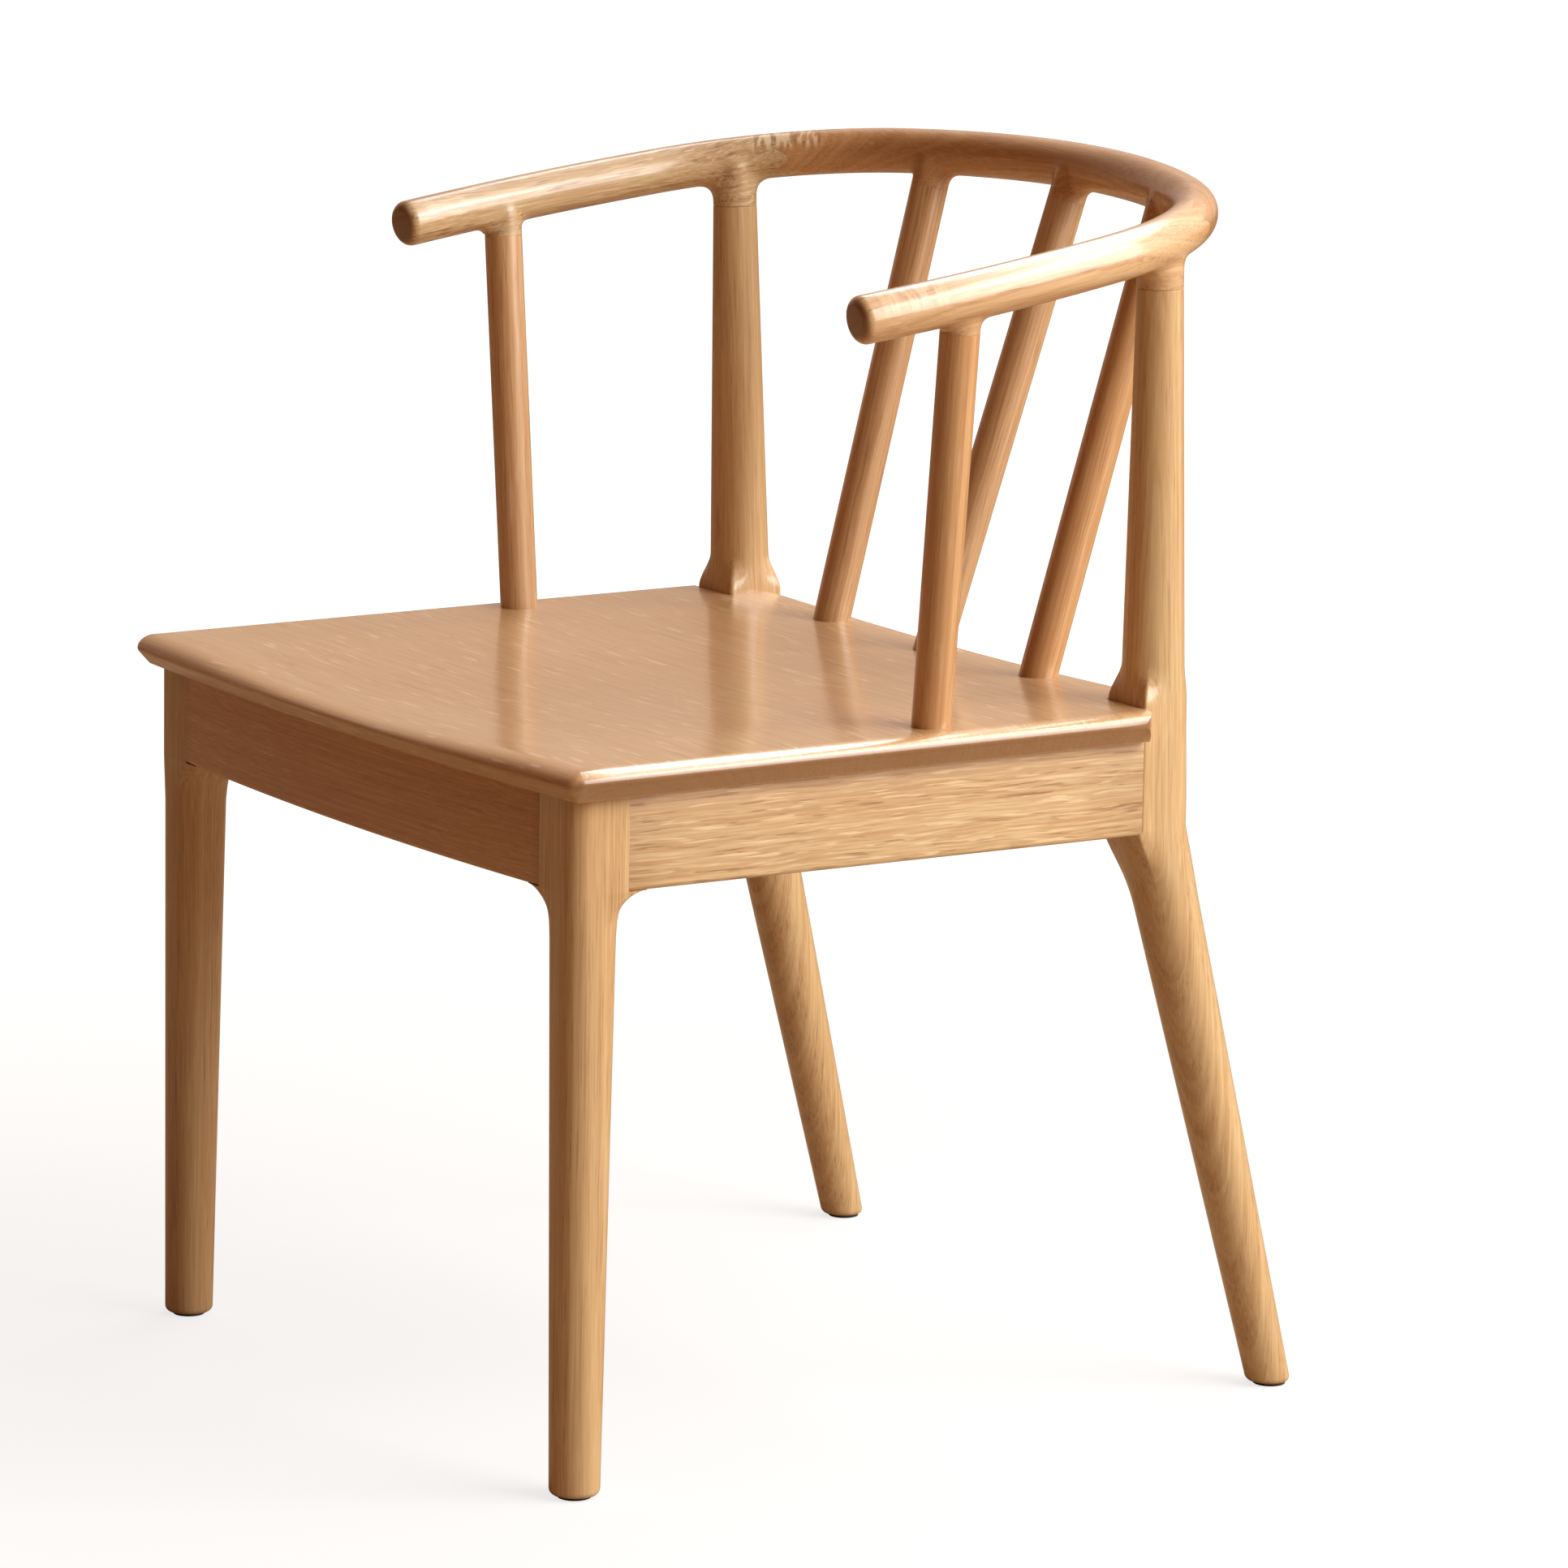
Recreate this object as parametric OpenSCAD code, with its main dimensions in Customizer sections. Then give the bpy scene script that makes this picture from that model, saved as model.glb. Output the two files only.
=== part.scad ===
// Horseshoe-back dining armchair in solid oak.
// +Z is up, the front faces -Y and the sitter's left is at +X.
// The origin is on the floor, under the middle of the overall width and depth.
// Lengths named "from_front" run back from the foremost point of the seat.

/* [Overall] */
// Seat top at its sides, above the floor
seat_h = 440; // [410:1:470]
// Foremost point of the seat to the back of the rail
overall_d = 560; // [558:1:600]

/* [Seat] */
// Width of the seat
seat_w = 532; // [515:1:560]
// Depth of the seat at its middle
seat_d = 463; // [461:1:466]
// Thickness of the seat
seat_t = 19; // [17:0.5:26]
// How far the front edge bows forward of the corners
seat_bow = 10; // [6:0.5:16]
// Depth of the shallow dish across the seat
seat_dish = 4; // [2:0.25:5]
// Width of the dish
seat_dish_w = 410; // [380:1:430]
// Width of the eased top edge
ease_w = 22; // [14:1:26]
// Drop of the eased top edge
ease_h = 7; // [4:0.5:8]
// How far the underside bevel runs in
bevel_in = 8; // [4:0.5:12]
// Radius of the front corners in plan
seat_corner_r = 9; // [5:0.5:20]
// Radius where the side edge turns in at the rear leg
seat_return_r = 11; // [6:0.5:14]

/* [Under-frame] */
// How far the seat overhangs the frame at each side
side_overhang = 14.5; // [11:0.5:18]
// Front faces of the front legs, from the front of the seat
front_leg_from_front = 20; // [17:0.5:24]
// Front faces of the rear legs, from the front of the seat
rear_leg_from_front = 425; // [423:0.5:430]
// Height of the aprons
apron_h = 57; // [48:1:75]
// Thickness of the aprons
apron_t = 20; // [18:0.5:24]
// How far the front apron bows forward
apron_bow = 9; // [5:0.5:12]
// Set-back of the rear apron behind the backs of the rear legs
rear_apron_inset = 11; // [9:0.5:13]

/* [Legs] */
// Width of the front legs at the apron
front_leg_w = 38; // [36:0.5:42]
// Rounding of the outer front edge of the front legs at the apron
front_leg_r = 12; // [8:0.5:14]
// Width of the front legs where their shafts begin, under the ears
front_shaft_w = 36; // [34:0.5:38]
// Rounding of the long edges of the shafts
front_shaft_r = 13.5; // [10:0.5:15]
// Diameter of the front feet
front_foot_d = 30.5; // [26:0.5:34]
// Radius of the ears where the front legs meet the aprons
ear_r = 15; // [10:0.5:20]
// Width of the rear legs at the apron
rear_leg_w = 40; // [39:0.5:43]
// Rounding of the outer back corner of the rear legs
rear_leg_back_r = 18; // [12:0.5:19]
// Diameter of the rear legs just under the frame
rear_leg_d = 40.5; // [38:0.5:42]
// Drop from the apron to where the rear legs are round
rear_neck = 58; // [45:1:70]
// Diameter of the rear feet
rear_foot_d = 28; // [26:0.5:32]
// How far the rear feet stand out sideways from the rear legs
rear_foot_splay = 9; // [0:0.5:15]
// Rear feet, from the front of the seat
rear_foot_from_front = 542; // [520:1:543]
// Height of the rounded end of each foot
foot_round = 4; // [2:0.5:6]

/* [Back posts and arm posts] */
// Diameter of the back posts above their shoulders
back_post_d = 38; // [35:0.5:38.5]
// Diameter of the back posts at the rail
back_post_top_d = 28.4; // [26:0.2:29]
// Height of the coved shoulders above the seat
shoulder_h = 26; // [16:0.5:30]
// Radius of the coves
cove_r = 36; // [18:0.5:44]
// Back posts along the rail, from the middle of the crest
back_post_s = 275.5; // [272:0.5:285]
// Diameter of the arm posts
arm_post_d = 24; // [21:0.5:27]
// Arm post centres, in from the sides of the seat
arm_post_inset = 29; // [27:0.5:34]
// Arm post centres, from the front of the seat
arm_post_from_front = 277.5; // [255:0.5:300]
// Arm posts along the rail, back from its tips
arm_post_from_tip = 76; // [60:0.5:85]

/* [Spindles] */
// Diameter of the back spindles
spindle_d = 24; // [20:0.5:26]
// Spacing of the spindles on the seat
spindle_gap = 116; // [100:0.5:125]
// Spacing of the spindles along the crest
spindle_top_gap = 130; // [110:0.5:140]
// Spindle centres on the seat, from the front of the seat
spindle_from_front = 440; // [432:0.5:441]

/* [Rail] */
// Diameter of the rail
rail_d = 29.2; // [28:0.2:32]
// Middle of the crest above the seat
rail_rise = 297.7; // [270:0.5:330]
// Slope of the rail, down towards its tips
rail_tilt = 8; // [5:0.5:11]
// Bend radius of the crest
crest_bend_r = 414.5; // [400:0.5:430]
// Half the angle of the crest bend
crest_bend_a = 21.45; // [20:0.05:23]
// Bend radius at the back corners
corner_bend_r = 167.5; // [160:0.5:175]
// Angle of the back corner bends
corner_bend_a = 59.8; // [58:0.1:62]
// Bend radius of the arms
arm_bend_r = 753; // [650:1:900]
// Length of the arm bends
arm_bend_len = 173; // [160:1:190]
// Length of the straight tips
tip_len = 16; // [8:0.5:20]
// Rounding of the tip ends
tip_r = 6; // [3:0.5:8]
// How far the post centres run inside the rail centre
post_offset = 3; // [0:0.5:4]

/* [Rail stubs and fingers] */
// Rail centre to the seam on the back posts
back_stub = 29; // [26:0.5:34]
// Rail centre to the seam on the arm posts
arm_stub = 21; // [20.5:0.5:28]
// Rail centre to the seam on the spindles
spindle_stub = 23; // [22:0.5:30]
// Fillet radius between rail and back posts
back_fillet = 9; // [6:0.5:11]
// Fillet radius between rail and the thinner posts
post_fillet = 6; // [4:0.5:7]
// Finger joints along the rail, from the middle of the crest
finger_s = 236; // [228:0.5:238]
// Length of the fingers
finger_len = 24; // [16:0.5:28]
// Number of fingers
finger_count = 5; // [3:1:7]

/* [Joints] */
// Thickness of the apron tenons
tenon_t = 8; // [6:0.5:10]
// Length of the apron tenons
tenon_len = 20; // [15:0.5:21]
// Shoulder above and below the apron tenons
tenon_shoulder = 8; // [5:0.5:12]
// Diameter of the tenons on arm posts and spindles
post_tenon_d = 14; // [10:0.5:15]
// Length of the tenons into the rail on arm posts and spindles
post_tenon_len = 20; // [15:0.5:22]
// Diameter of the tenons on the back posts
back_tenon_d = 17; // [12:0.5:18]
// Length of the tenons on the back posts
back_tenon_len = 28; // [20:0.5:30]
// How deep posts and spindles are let into the seat
housing = 5; // [4.5:0.25:6]
// Length of the tenons below the housings
seat_tenon_len = 5; // [3:0.25:5.5]
// Clearance around and behind each joint
fit = 0.2; // [0.1:0.05:0.3]

/* [Corner blocks, screws and glides] */
// Height of the corner blocks
block_h = 28; // [22:1:36]
// Thickness of the tabs on the corner blocks
tab_t = 10; // [9:0.5:13]
// Reach of the corner blocks along the aprons
block_reach = 50; // [45:1:65]
// Diameter of the screw shanks
screw_d = 4; // [3:0.5:5]
// Diameter of the screw heads
screw_head_d = 8; // [7:0.5:9]
// Height of the screw heads
screw_head_h = 2.5; // [2:0.25:4]
// How far the screws bite past the corner blocks
screw_bite = 10; // [6:0.5:11]
// Diameter of the glides
glide_d = 20; // [14:0.5:20]
// Thickness of the glides under the feet
glide_t = 1.6; // [1:0.2:3]
// Diameter of the glide stems
glide_stem_d = 6; // [4:0.5:8]
// Length of the glide stems
glide_stem_len = 12; // [8:0.5:20]

/* [Hidden] */
$fn = 96;
oak = [0.84, 0.67, 0.48];
oak_dark = [0.76, 0.58, 0.39];
beech = [0.86, 0.72, 0.55];
steel = [0.72, 0.72, 0.70];
nylon = [0.25, 0.22, 0.20];

skin = 0.01;                 // thickness of the slices that hulls span
lap = 1;                     // how far one bar of the rail starts inside the last
hair = 0.04;                 // how much thinner it is
rail_r = rail_d / 2;
seat_under = seat_h - seat_t;
apron_z = seat_under - apron_h;
frame_x = seat_w / 2 - side_overhang;        // outer faces of legs and side aprons
front_leg_x = frame_x - front_leg_w;         // inner faces of the front legs
rear_leg_x = frame_x - rear_leg_w;           // inner faces of the rear legs
front_leg_back = front_leg_from_front + front_leg_w;
rear_leg_back = rear_leg_from_front + rear_leg_w;
rear_apron_back = rear_leg_back - rear_apron_inset;
rear_apron_front = rear_apron_back - apron_t;
dish_r = (pow(seat_dish_w / 2, 2) + pow(seat_dish, 2)) / (2 * seat_dish);
bow_r = (pow(front_leg_x, 2) + pow(apron_bow, 2)) / (2 * apron_bow);
bow_centre = front_leg_from_front - apron_bow + bow_r;   // behind the front of the seat

// Y of a point at a distance behind the foremost point of the seat
function fy(from_front) = from_front - overall_d / 2;
function unit(v) = v / norm(v);
// Depth of the dish at a distance from the middle of the seat
function dish_at(x) = max(0, seat_dish - dish_r + sqrt(pow(dish_r, 2) - pow(x, 2)));

// ---- Line of the rail: three tangent arcs each side, in a plane tilted about X ----
// s is the length along the rail from the middle of the crest, a the heading there.
deg = 180 / PI;
rail_y = overall_d / 2 - rail_r;
rail_z = seat_h + rail_rise;
heading_1 = crest_bend_a;
heading_2 = heading_1 + corner_bend_a;
heading_3 = heading_2 + arm_bend_len / arm_bend_r * deg;
s_1 = crest_bend_r * crest_bend_a / deg;
s_2 = s_1 + corner_bend_r * corner_bend_a / deg;
s_3 = s_2 + arm_bend_len;
arm_post_s = s_3 + tip_len - arm_post_from_tip;
function out(a) = [sin(a), cos(a)];
centre_1 = [0, -crest_bend_r];
centre_2 = centre_1 + (crest_bend_r - corner_bend_r) * out(heading_1);
centre_3 = centre_2 + (corner_bend_r - arm_bend_r) * out(heading_2);
function heading(s) = s < s_1 ? s / crest_bend_r * deg
    : s < s_2 ? heading_1 + (s - s_1) / corner_bend_r * deg
    : heading_2 + (s - s_2) / arm_bend_r * deg;
function bend(s) = s < s_1 ? [centre_1, crest_bend_r]
    : s < s_2 ? [centre_2, corner_bend_r] : [centre_3, arm_bend_r];
function rail_uv(s, inset = 0) = bend(s)[0] + (bend(s)[1] - inset) * out(heading(s));
function from_plane(p) = [p[0], rail_y + p[1] * cos(rail_tilt), rail_z + p[1] * sin(rail_tilt)];
function rail_point(s) = from_plane(rail_uv(s, post_offset));
function rail_along(s) =
    [cos(heading(s)), -sin(heading(s)) * cos(rail_tilt), -sin(heading(s)) * sin(rail_tilt)];

// ---- Where each upright stands and where its line meets the rail ----
arm_post_x = seat_w / 2 - arm_post_inset;
arm_base = [arm_post_x, fy(arm_post_from_front), seat_h];
back_base = [frame_x - rear_leg_w / 2, fy(rear_leg_from_front + rear_leg_w / 2), seat_h];
function spindle_base(x) = [x, fy(spindle_from_front), seat_h - dish_at(x)];

// ---- Placing ----
module on_right() {
    mirror([1, 0, 0]) children();
}

// Puts the children at a point, with their z towards a second point and x near a direction
module along(from, to, side = [0, 1, 0]) {
    z = unit(to - from);
    y = unit(cross(z, side));
    x = cross(y, z);
    multmatrix([
        [x[0], y[0], z[0], from[0]],
        [x[1], y[1], z[1], from[1]],
        [x[2], y[2], z[2], from[2]],
        [0, 0, 0, 1]
    ]) children();
}

module in_rail_plane() {
    translate([0, rail_y, rail_z]) rotate([rail_tilt, 0, 0]) children();
}

// ---- Seat ----
// Outline of the seat, drawn in by an inset: bowed front, rounded front corners
function seat_outline(inset) =
    let (half = seat_w / 2 - inset, r = max(seat_corner_r - inset, 1), steps = 12)
    concat(
        [[-half, fy(seat_d - inset)], [half, fy(seat_d - inset)]],
        [for (a = [0:-15:-90]) [half - r + r * cos(a), fy(seat_bow + inset + r) + r * sin(a)]],
        [for (i = [-steps + 1:steps - 1])
            let (k = -i / steps) [k * (half - r), fy(inset + seat_bow * k * k)]],
        [for (a = [-90:-15:-180]) [-half + r + r * cos(a), fy(seat_bow + inset + r) + r * sin(a)]]
    );

// Inset and drop of each line round the edge: eased top, then the bevel underneath
edge_lines = concat(
    [for (a = [0:15:90]) [ease_w * (1 - sin(a)), ease_h * (1 - cos(a)) + skin]],
    [[bevel_in, seat_t]]
);

module seat_blank() {
    hull()
        for (line = edge_lines)
            translate([0, 0, seat_h - line[1]])
                linear_extrude(skin) polygon(seat_outline(line[0]));
}

module dish_cut() {
    steps = 16;
    translate([0, fy(seat_d + 1), seat_h]) rotate([90, 0, 0])
        linear_extrude(seat_d + 2) polygon(concat(
            [for (i = [-steps:steps])
                let (x = i / steps * seat_dish_w / 2) [x, -dish_at(x)]],
            [[seat_dish_w / 2, seat_dish], [-seat_dish_w / 2, seat_dish]]
        ));
}

// Clears the rear leg and rounds the side edge in to meet it
module leg_notch() {
    edge = rear_leg_from_front - fit;
    translate([rear_leg_x - fit, fy(edge), seat_under - 1])
        cube([seat_w, seat_w, seat_t + 2]);
    translate([seat_w / 2 - seat_return_r, fy(edge - seat_return_r), seat_under - 1])
        difference() {
            cube([seat_return_r + 1, seat_return_r + 1, seat_t + 2]);
            translate([0, 0, -1]) cylinder(r = seat_return_r, h = seat_t + 4);
        }
}

// Housing and mortise in the seat for an upright of a diameter
module seat_socket(base, top, d) {
    along(base, top) {
        translate([0, 0, -housing]) cylinder(d = d + fit, h = housing + seat_t);
        translate([0, 0, -housing - seat_tenon_len - fit])
            cylinder(d = post_tenon_d + fit, h = housing + seat_tenon_len + seat_t);
    }
}

module seat_panel() {
    color(oak) difference() {
        seat_blank();
        dish_cut();
        leg_notch();
        on_right() leg_notch();
        seat_socket(arm_base, rail_point(arm_post_s), arm_post_d);
        on_right() seat_socket(arm_base, rail_point(arm_post_s), arm_post_d);
        seat_socket(spindle_base(0), rail_point(0), spindle_d);
        seat_socket(spindle_base(spindle_gap), rail_point(spindle_top_gap), spindle_d);
        on_right()
            seat_socket(spindle_base(spindle_gap), rail_point(spindle_top_gap), spindle_d);
        seat_screw_places() cylinder(d = screw_d + fit, h = screw_bite + fit);
    }
}

// ---- Aprons ----
// A tongue or its mortise, grown by a clearance; it points along +X from the shoulder
module tongue(grow = 0) {
    translate([-skin, -tenon_t / 2 - grow, apron_z + tenon_shoulder - grow])
        cube([tenon_len + skin + grow * 2, tenon_t + 2 * grow,
              apron_h - 2 * tenon_shoulder + 2 * grow]);
}

// Tongues of the front apron, the rear apron and the side aprons, on the left side
module front_tongue(grow = 0) {
    translate([front_leg_x, fy(front_leg_from_front + apron_t / 2), 0]) tongue(grow);
}

module rear_tongue(grow = 0) {
    translate([rear_leg_x, fy(rear_apron_back - apron_t / 2), 0]) tongue(grow);
}

// Side tongues sit nearer the inside face, clear of the front apron's tongue
module side_tongue_front(grow = 0) {
    translate([frame_x - apron_t / 2, fy(front_leg_back), 0])
        rotate([0, 0, -90]) short_tongue(front_leg_back - front_leg_from_front - apron_t, grow);
}

module side_tongue_rear(grow = 0) {
    translate([frame_x - apron_t / 2, fy(rear_leg_from_front), 0])
        rotate([0, 0, 90])
            short_tongue(rear_apron_back - apron_t / 2 - rear_leg_from_front - tenon_t, grow);
}

// A tongue kept short of the one that crosses its way
module short_tongue(room, grow = 0) {
    length = min(tenon_len, room - 1);
    translate([-skin, -tenon_t / 2 - grow, apron_z + tenon_shoulder - grow])
        cube([length + skin + grow * 2, tenon_t + 2 * grow,
              apron_h - 2 * tenon_shoulder + 2 * grow]);
}

module bow_cylinder(r, h) {
    translate([0, fy(bow_centre), 0]) cylinder(r = r, h = h, $fn = 720);
}

module front_apron() {
    color(oak) difference() {
        union() {
            intersection() {
                translate([0, 0, apron_z]) difference() {
                    bow_cylinder(bow_r, apron_h);
                    translate([0, 0, -1]) bow_cylinder(bow_r - apron_t, apron_h + 2);
                }
                translate([-front_leg_x, fy(0), apron_z])
                    cube([2 * front_leg_x, front_leg_from_front + 2 * apron_t, apron_h]);
            }
            front_tongue();
            on_right() front_tongue();
        }
        front_block_screw_places() block_screw_bore();
        on_right() front_block_screw_places() block_screw_bore();
    }
}

module rear_apron() {
    color(oak_dark) difference() {
        union() {
            translate([-rear_leg_x, fy(rear_apron_front), apron_z])
                cube([2 * rear_leg_x, apron_t, apron_h]);
            rear_tongue();
            on_right() rear_tongue();
        }
        rear_block_screw_places() block_screw_bore();
        on_right() rear_block_screw_places() block_screw_bore();
    }
}

module side_apron_left() {
    color(oak) difference() {
        union() {
            translate([frame_x - apron_t, fy(front_leg_back), apron_z])
                cube([apron_t, rear_leg_from_front - front_leg_back, apron_h]);
            side_tongue_front();
            side_tongue_rear();
        }
        front_block_screw_places() block_screw_bore();
        rear_block_screw_places() block_screw_bore();
    }
}

// ---- Legs ----
// Square of a width with its own radius at each corner, as a list of points.
// Corners in turn: outer back, inner back, inner front, outer front.
function rounded_square(w, radii) =
    [for (c = [0:3])
        let (r = radii[c], sx = [1, -1, -1, 1][c], sy = [1, 1, -1, -1][c])
        for (a = [0:15:90])
            [sx * (w / 2 - r), sy * (w / 2 - r)]
                + r * [cos(a + 90 * c), sin(a + 90 * c)]];

edge_r = 1.5;                // light rounding of the square corners
front_block_radii = [edge_r, edge_r, edge_r, front_leg_r];
front_shaft_radii = [for (c = [0:3]) front_shaft_r];
rear_block_radii = [rear_leg_back_r, edge_r, edge_r, edge_r];

// Slice of a front leg: its outer faces stay upright while it tapers
module front_slice(z, w, radii, h = skin) {
    translate([frame_x - w / 2, fy(front_leg_from_front) + w / 2, z])
        linear_extrude(h) polygon(rounded_square(w, radii));
}

module front_foot_slice(z, d) {
    translate([frame_x - front_foot_d / 2, fy(front_leg_from_front) + front_foot_d / 2, z])
        cylinder(d = d, h = skin, $fn = 32);
}

// Ear that carries a leg out under an apron, with a hollow curve; it reaches along +X
module ear() {
    root = front_leg_r;
    translate([-root, -apron_t, apron_z - ear_r]) difference() {
        cube([root + ear_r, apron_t, ear_r]);
        translate([root + ear_r, -1, 0])
            rotate([-90, 0, 0]) cylinder(r = ear_r, h = apron_t + 2);
    }
}

module front_leg_left() {
    neck = ear_r + 4;
    color(oak) difference() {
        union() {
            front_slice(apron_z - ear_r, front_leg_w, front_block_radii, apron_h + ear_r);
            hull() {
                front_slice(apron_z - ear_r - skin, front_leg_w, front_block_radii);
                front_slice(apron_z - ear_r - neck, front_shaft_w, front_shaft_radii);
            }
            hull() {
                front_slice(apron_z - ear_r - neck, front_shaft_w, front_shaft_radii);
                front_foot_slice(glide_t + foot_round, front_foot_d);
                front_foot_slice(glide_t + foot_round * 0.3, front_foot_d - foot_round * 0.6);
                front_foot_slice(glide_t, front_foot_d - foot_round * 2);
            }
            translate([frame_x, fy(front_leg_back), 0]) rotate([0, 0, 90])
                mirror([0, 1, 0]) ear();
            translate([front_leg_x, fy(front_leg_from_front), 0]) mirror([1, 0, 0])
                mirror([0, 1, 0]) ear();
        }
        front_tongue(fit);
        side_tongue_front(fit);
        translate(front_foot) glide_bore();
    }
}

module rear_slice(z, h = skin) {
    translate([back_base[0], back_base[1], z])
        linear_extrude(h) polygon(rounded_square(rear_leg_w, rear_block_radii));
}

front_foot = [frame_x - front_foot_d / 2, fy(front_leg_from_front) + front_foot_d / 2, glide_t];
rear_foot = [back_base[0] + rear_foot_splay, fy(rear_foot_from_front), glide_t];
// Point on the raked line of the rear leg at a height
function rake(z) =
    let (k = (apron_z - z) / (apron_z - glide_t))
    [back_base[0], back_base[1], 0] * (1 - k) + [rear_foot[0], rear_foot[1], 0] * k + [0, 0, z];

module rear_round_slice(z, d) {
    translate(rake(z)) cylinder(d = d, h = skin, $fn = 32);
}

shoulder_z = seat_h + shoulder_h;
back_post_len = norm(rail_point(back_post_s) - back_base);

// Back post as one turned shape round its own line: swell, cove, taper and tenon
module turned_back_post() {
    r_base = back_post_d / 2;
    swell = rear_leg_w * 0.75;
    drop = sqrt(pow(cove_r, 2) - pow(cove_r + r_base - swell, 2));
    seam = back_post_len - back_stub;
    rotate_extrude() {
        difference() {
            translate([0, -drop * 2]) square([swell, drop * 2 + shoulder_h]);
            translate([r_base + cove_r, shoulder_h]) circle(r = cove_r);
        }
        polygon([
            [0, shoulder_h - skin], [r_base, shoulder_h - skin], [r_base, shoulder_h],
            [back_post_top_d / 2, seam], [0, seam]
        ]);
        translate([0, seam - 1]) square([back_tenon_d / 2, back_tenon_len + 1]);
    }
}

module rear_leg_left() {
    top = rail_point(back_post_s);
    color(oak) difference() {
        union() {
            rear_slice(apron_z, seat_h - apron_z);
            intersection() {
                along(back_base, top) turned_back_post();
                union() {
                    rear_slice(seat_h - skin, shoulder_h + 2);
                    translate([back_base[0], back_base[1], shoulder_z])
                        cylinder(d = 4 * rear_leg_w, h = back_post_len * 2);
                }
            }
            hull() {
                rear_slice(apron_z - skin);
                rear_round_slice(apron_z - rear_neck, rear_leg_d);
            }
            hull() {
                rear_round_slice(apron_z - rear_neck, rear_leg_d);
                rear_round_slice(glide_t + foot_round, rear_foot_d);
                rear_round_slice(glide_t + foot_round * 0.3, rear_foot_d - foot_round * 0.6);
                rear_round_slice(glide_t, rear_foot_d - foot_round * 2);
            }
        }
        rear_tongue(fit);
        side_tongue_rear(fit);
        translate(rear_foot) glide_bore();
    }
}

// ---- Arm posts and spindles ----
// Plain round upright with a tenon at each end, from its housing to the seam of the stub
module upright(base, top, d, stub) {
    seam = norm(top - base) - stub;
    along(base, top) {
        translate([0, 0, -housing]) cylinder(d = d, h = housing + seam);
        translate([0, 0, -housing - seat_tenon_len])
            cylinder(d = post_tenon_d, h = seat_tenon_len + 1);
        translate([0, 0, seam - 1]) cylinder(d = post_tenon_d, h = post_tenon_len + 1);
    }
}

module arm_post_left() {
    color(oak) upright(arm_base, rail_point(arm_post_s), arm_post_d, arm_stub);
}

module back_spindle_centre() {
    color(oak) upright(spindle_base(0), rail_point(0), spindle_d, spindle_stub);
}

module back_spindle_left() {
    color(oak)
        upright(spindle_base(spindle_gap), rail_point(spindle_top_gap), spindle_d, spindle_stub);
}

// ---- Rail ----
// Round bar bent on one arc, between two headings. Each bar along the rail is a hair thinner
// than the one before and starts inside it, so that they fuse cleanly.
module bent_bar(centre, r, a_from, a_to, d) {
    start = a_from - lap / r * deg;
    translate([centre[0], centre[1], 0]) rotate([0, 0, 90 - a_to])
        rotate_extrude(angle = a_to - start, $fn = 360)
            translate([r, 0]) circle(d = d, $fn = 64);
}

module crest_bar() {
    translate([centre_1[0], centre_1[1], 0]) rotate([0, 0, 90 - heading_1])
        rotate_extrude(angle = 2 * heading_1, $fn = 360)
            translate([crest_bend_r, 0]) circle(d = rail_d, $fn = 64);
}

module corner_bar(a_from, a_to) {
    bent_bar(centre_2, corner_bend_r, a_from, a_to, rail_d - hair);
}

module arm_bar() {
    bent_bar(centre_3, arm_bend_r, heading_2, heading_3, rail_d - 2 * hair);
}

module rail_tip() {
    r = rail_d / 2 - 1.5 * hair;
    translate([rail_uv(s_3)[0], rail_uv(s_3)[1], 0]) rotate([0, 0, -heading_3])
        rotate([0, 90, 0]) rotate_extrude() {
            translate([0, -lap]) square([r, lap + tip_len - tip_r]);
            square([r - tip_r, tip_len]);
            translate([r - tip_r, tip_len - tip_r]) intersection() {
                circle(r = tip_r, $fn = 48);
                square(tip_r);
            }
        }
}

// Zigzag block that cuts the fingers: it lies on the crest side (-1) or the arm side (1)
module finger_block(side) {
    reach = rail_r + 2;
    tips = [for (i = [0:2 * finger_count])
        [(i % 2 == 0 ? -1 : 1) * finger_len / 2, -reach + i * reach / finger_count]];
    translate([rail_uv(finger_s)[0], rail_uv(finger_s)[1], -reach])
        rotate([0, 0, -heading(finger_s)]) linear_extrude(2 * reach)
            polygon(concat(tips, [[side * finger_len, reach], [side * finger_len, -reach]]));
}

// Extra turn that each rail piece has past the middle of the fingers
finger_turn = (finger_len / 2 + 1) / corner_bend_r * deg;

// Short limb under the rail that an upright meets: its top is domed inside the rail, and
// hollow fillets run out of it along the rail, narrowing towards their ends
module stub(s, base, d, length, fillet) {
    dome = rail_r * 0.4;
    foot = rail_r + fillet;
    along(rail_point(s), base, rail_along(s)) {
        rotate_extrude() {
            translate([0, dome]) square([d / 2, length - dome]);
            translate([0, dome]) intersection() {
                circle(d = d);
                translate([0, -d]) square(d);
            }
        }
        intersection() {
            rotate_extrude() difference() {
                translate([0, dome]) square([d / 2 + fillet, foot - dome]);
                translate([d / 2 + fillet, foot]) circle(r = fillet);
            }
            rotate([90, 0, 90]) translate([post_offset, 0, -rail_d]) linear_extrude(2 * rail_d)
                polygon([[-rail_r * 0.65, dome], [rail_r * 0.65, dome],
                         [rail_r * 0.25, foot], [-rail_r * 0.25, foot]]);
        }
    }
}

// Mortise for the tenon of an upright, opening at the seam of its stub
module stub_bore(s, base, d, tenon, stub_length) {
    along(rail_point(s), base)
        translate([0, 0, stub_length - tenon - fit])
            cylinder(d = d + fit, h = tenon + fit + 1);
}

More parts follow.
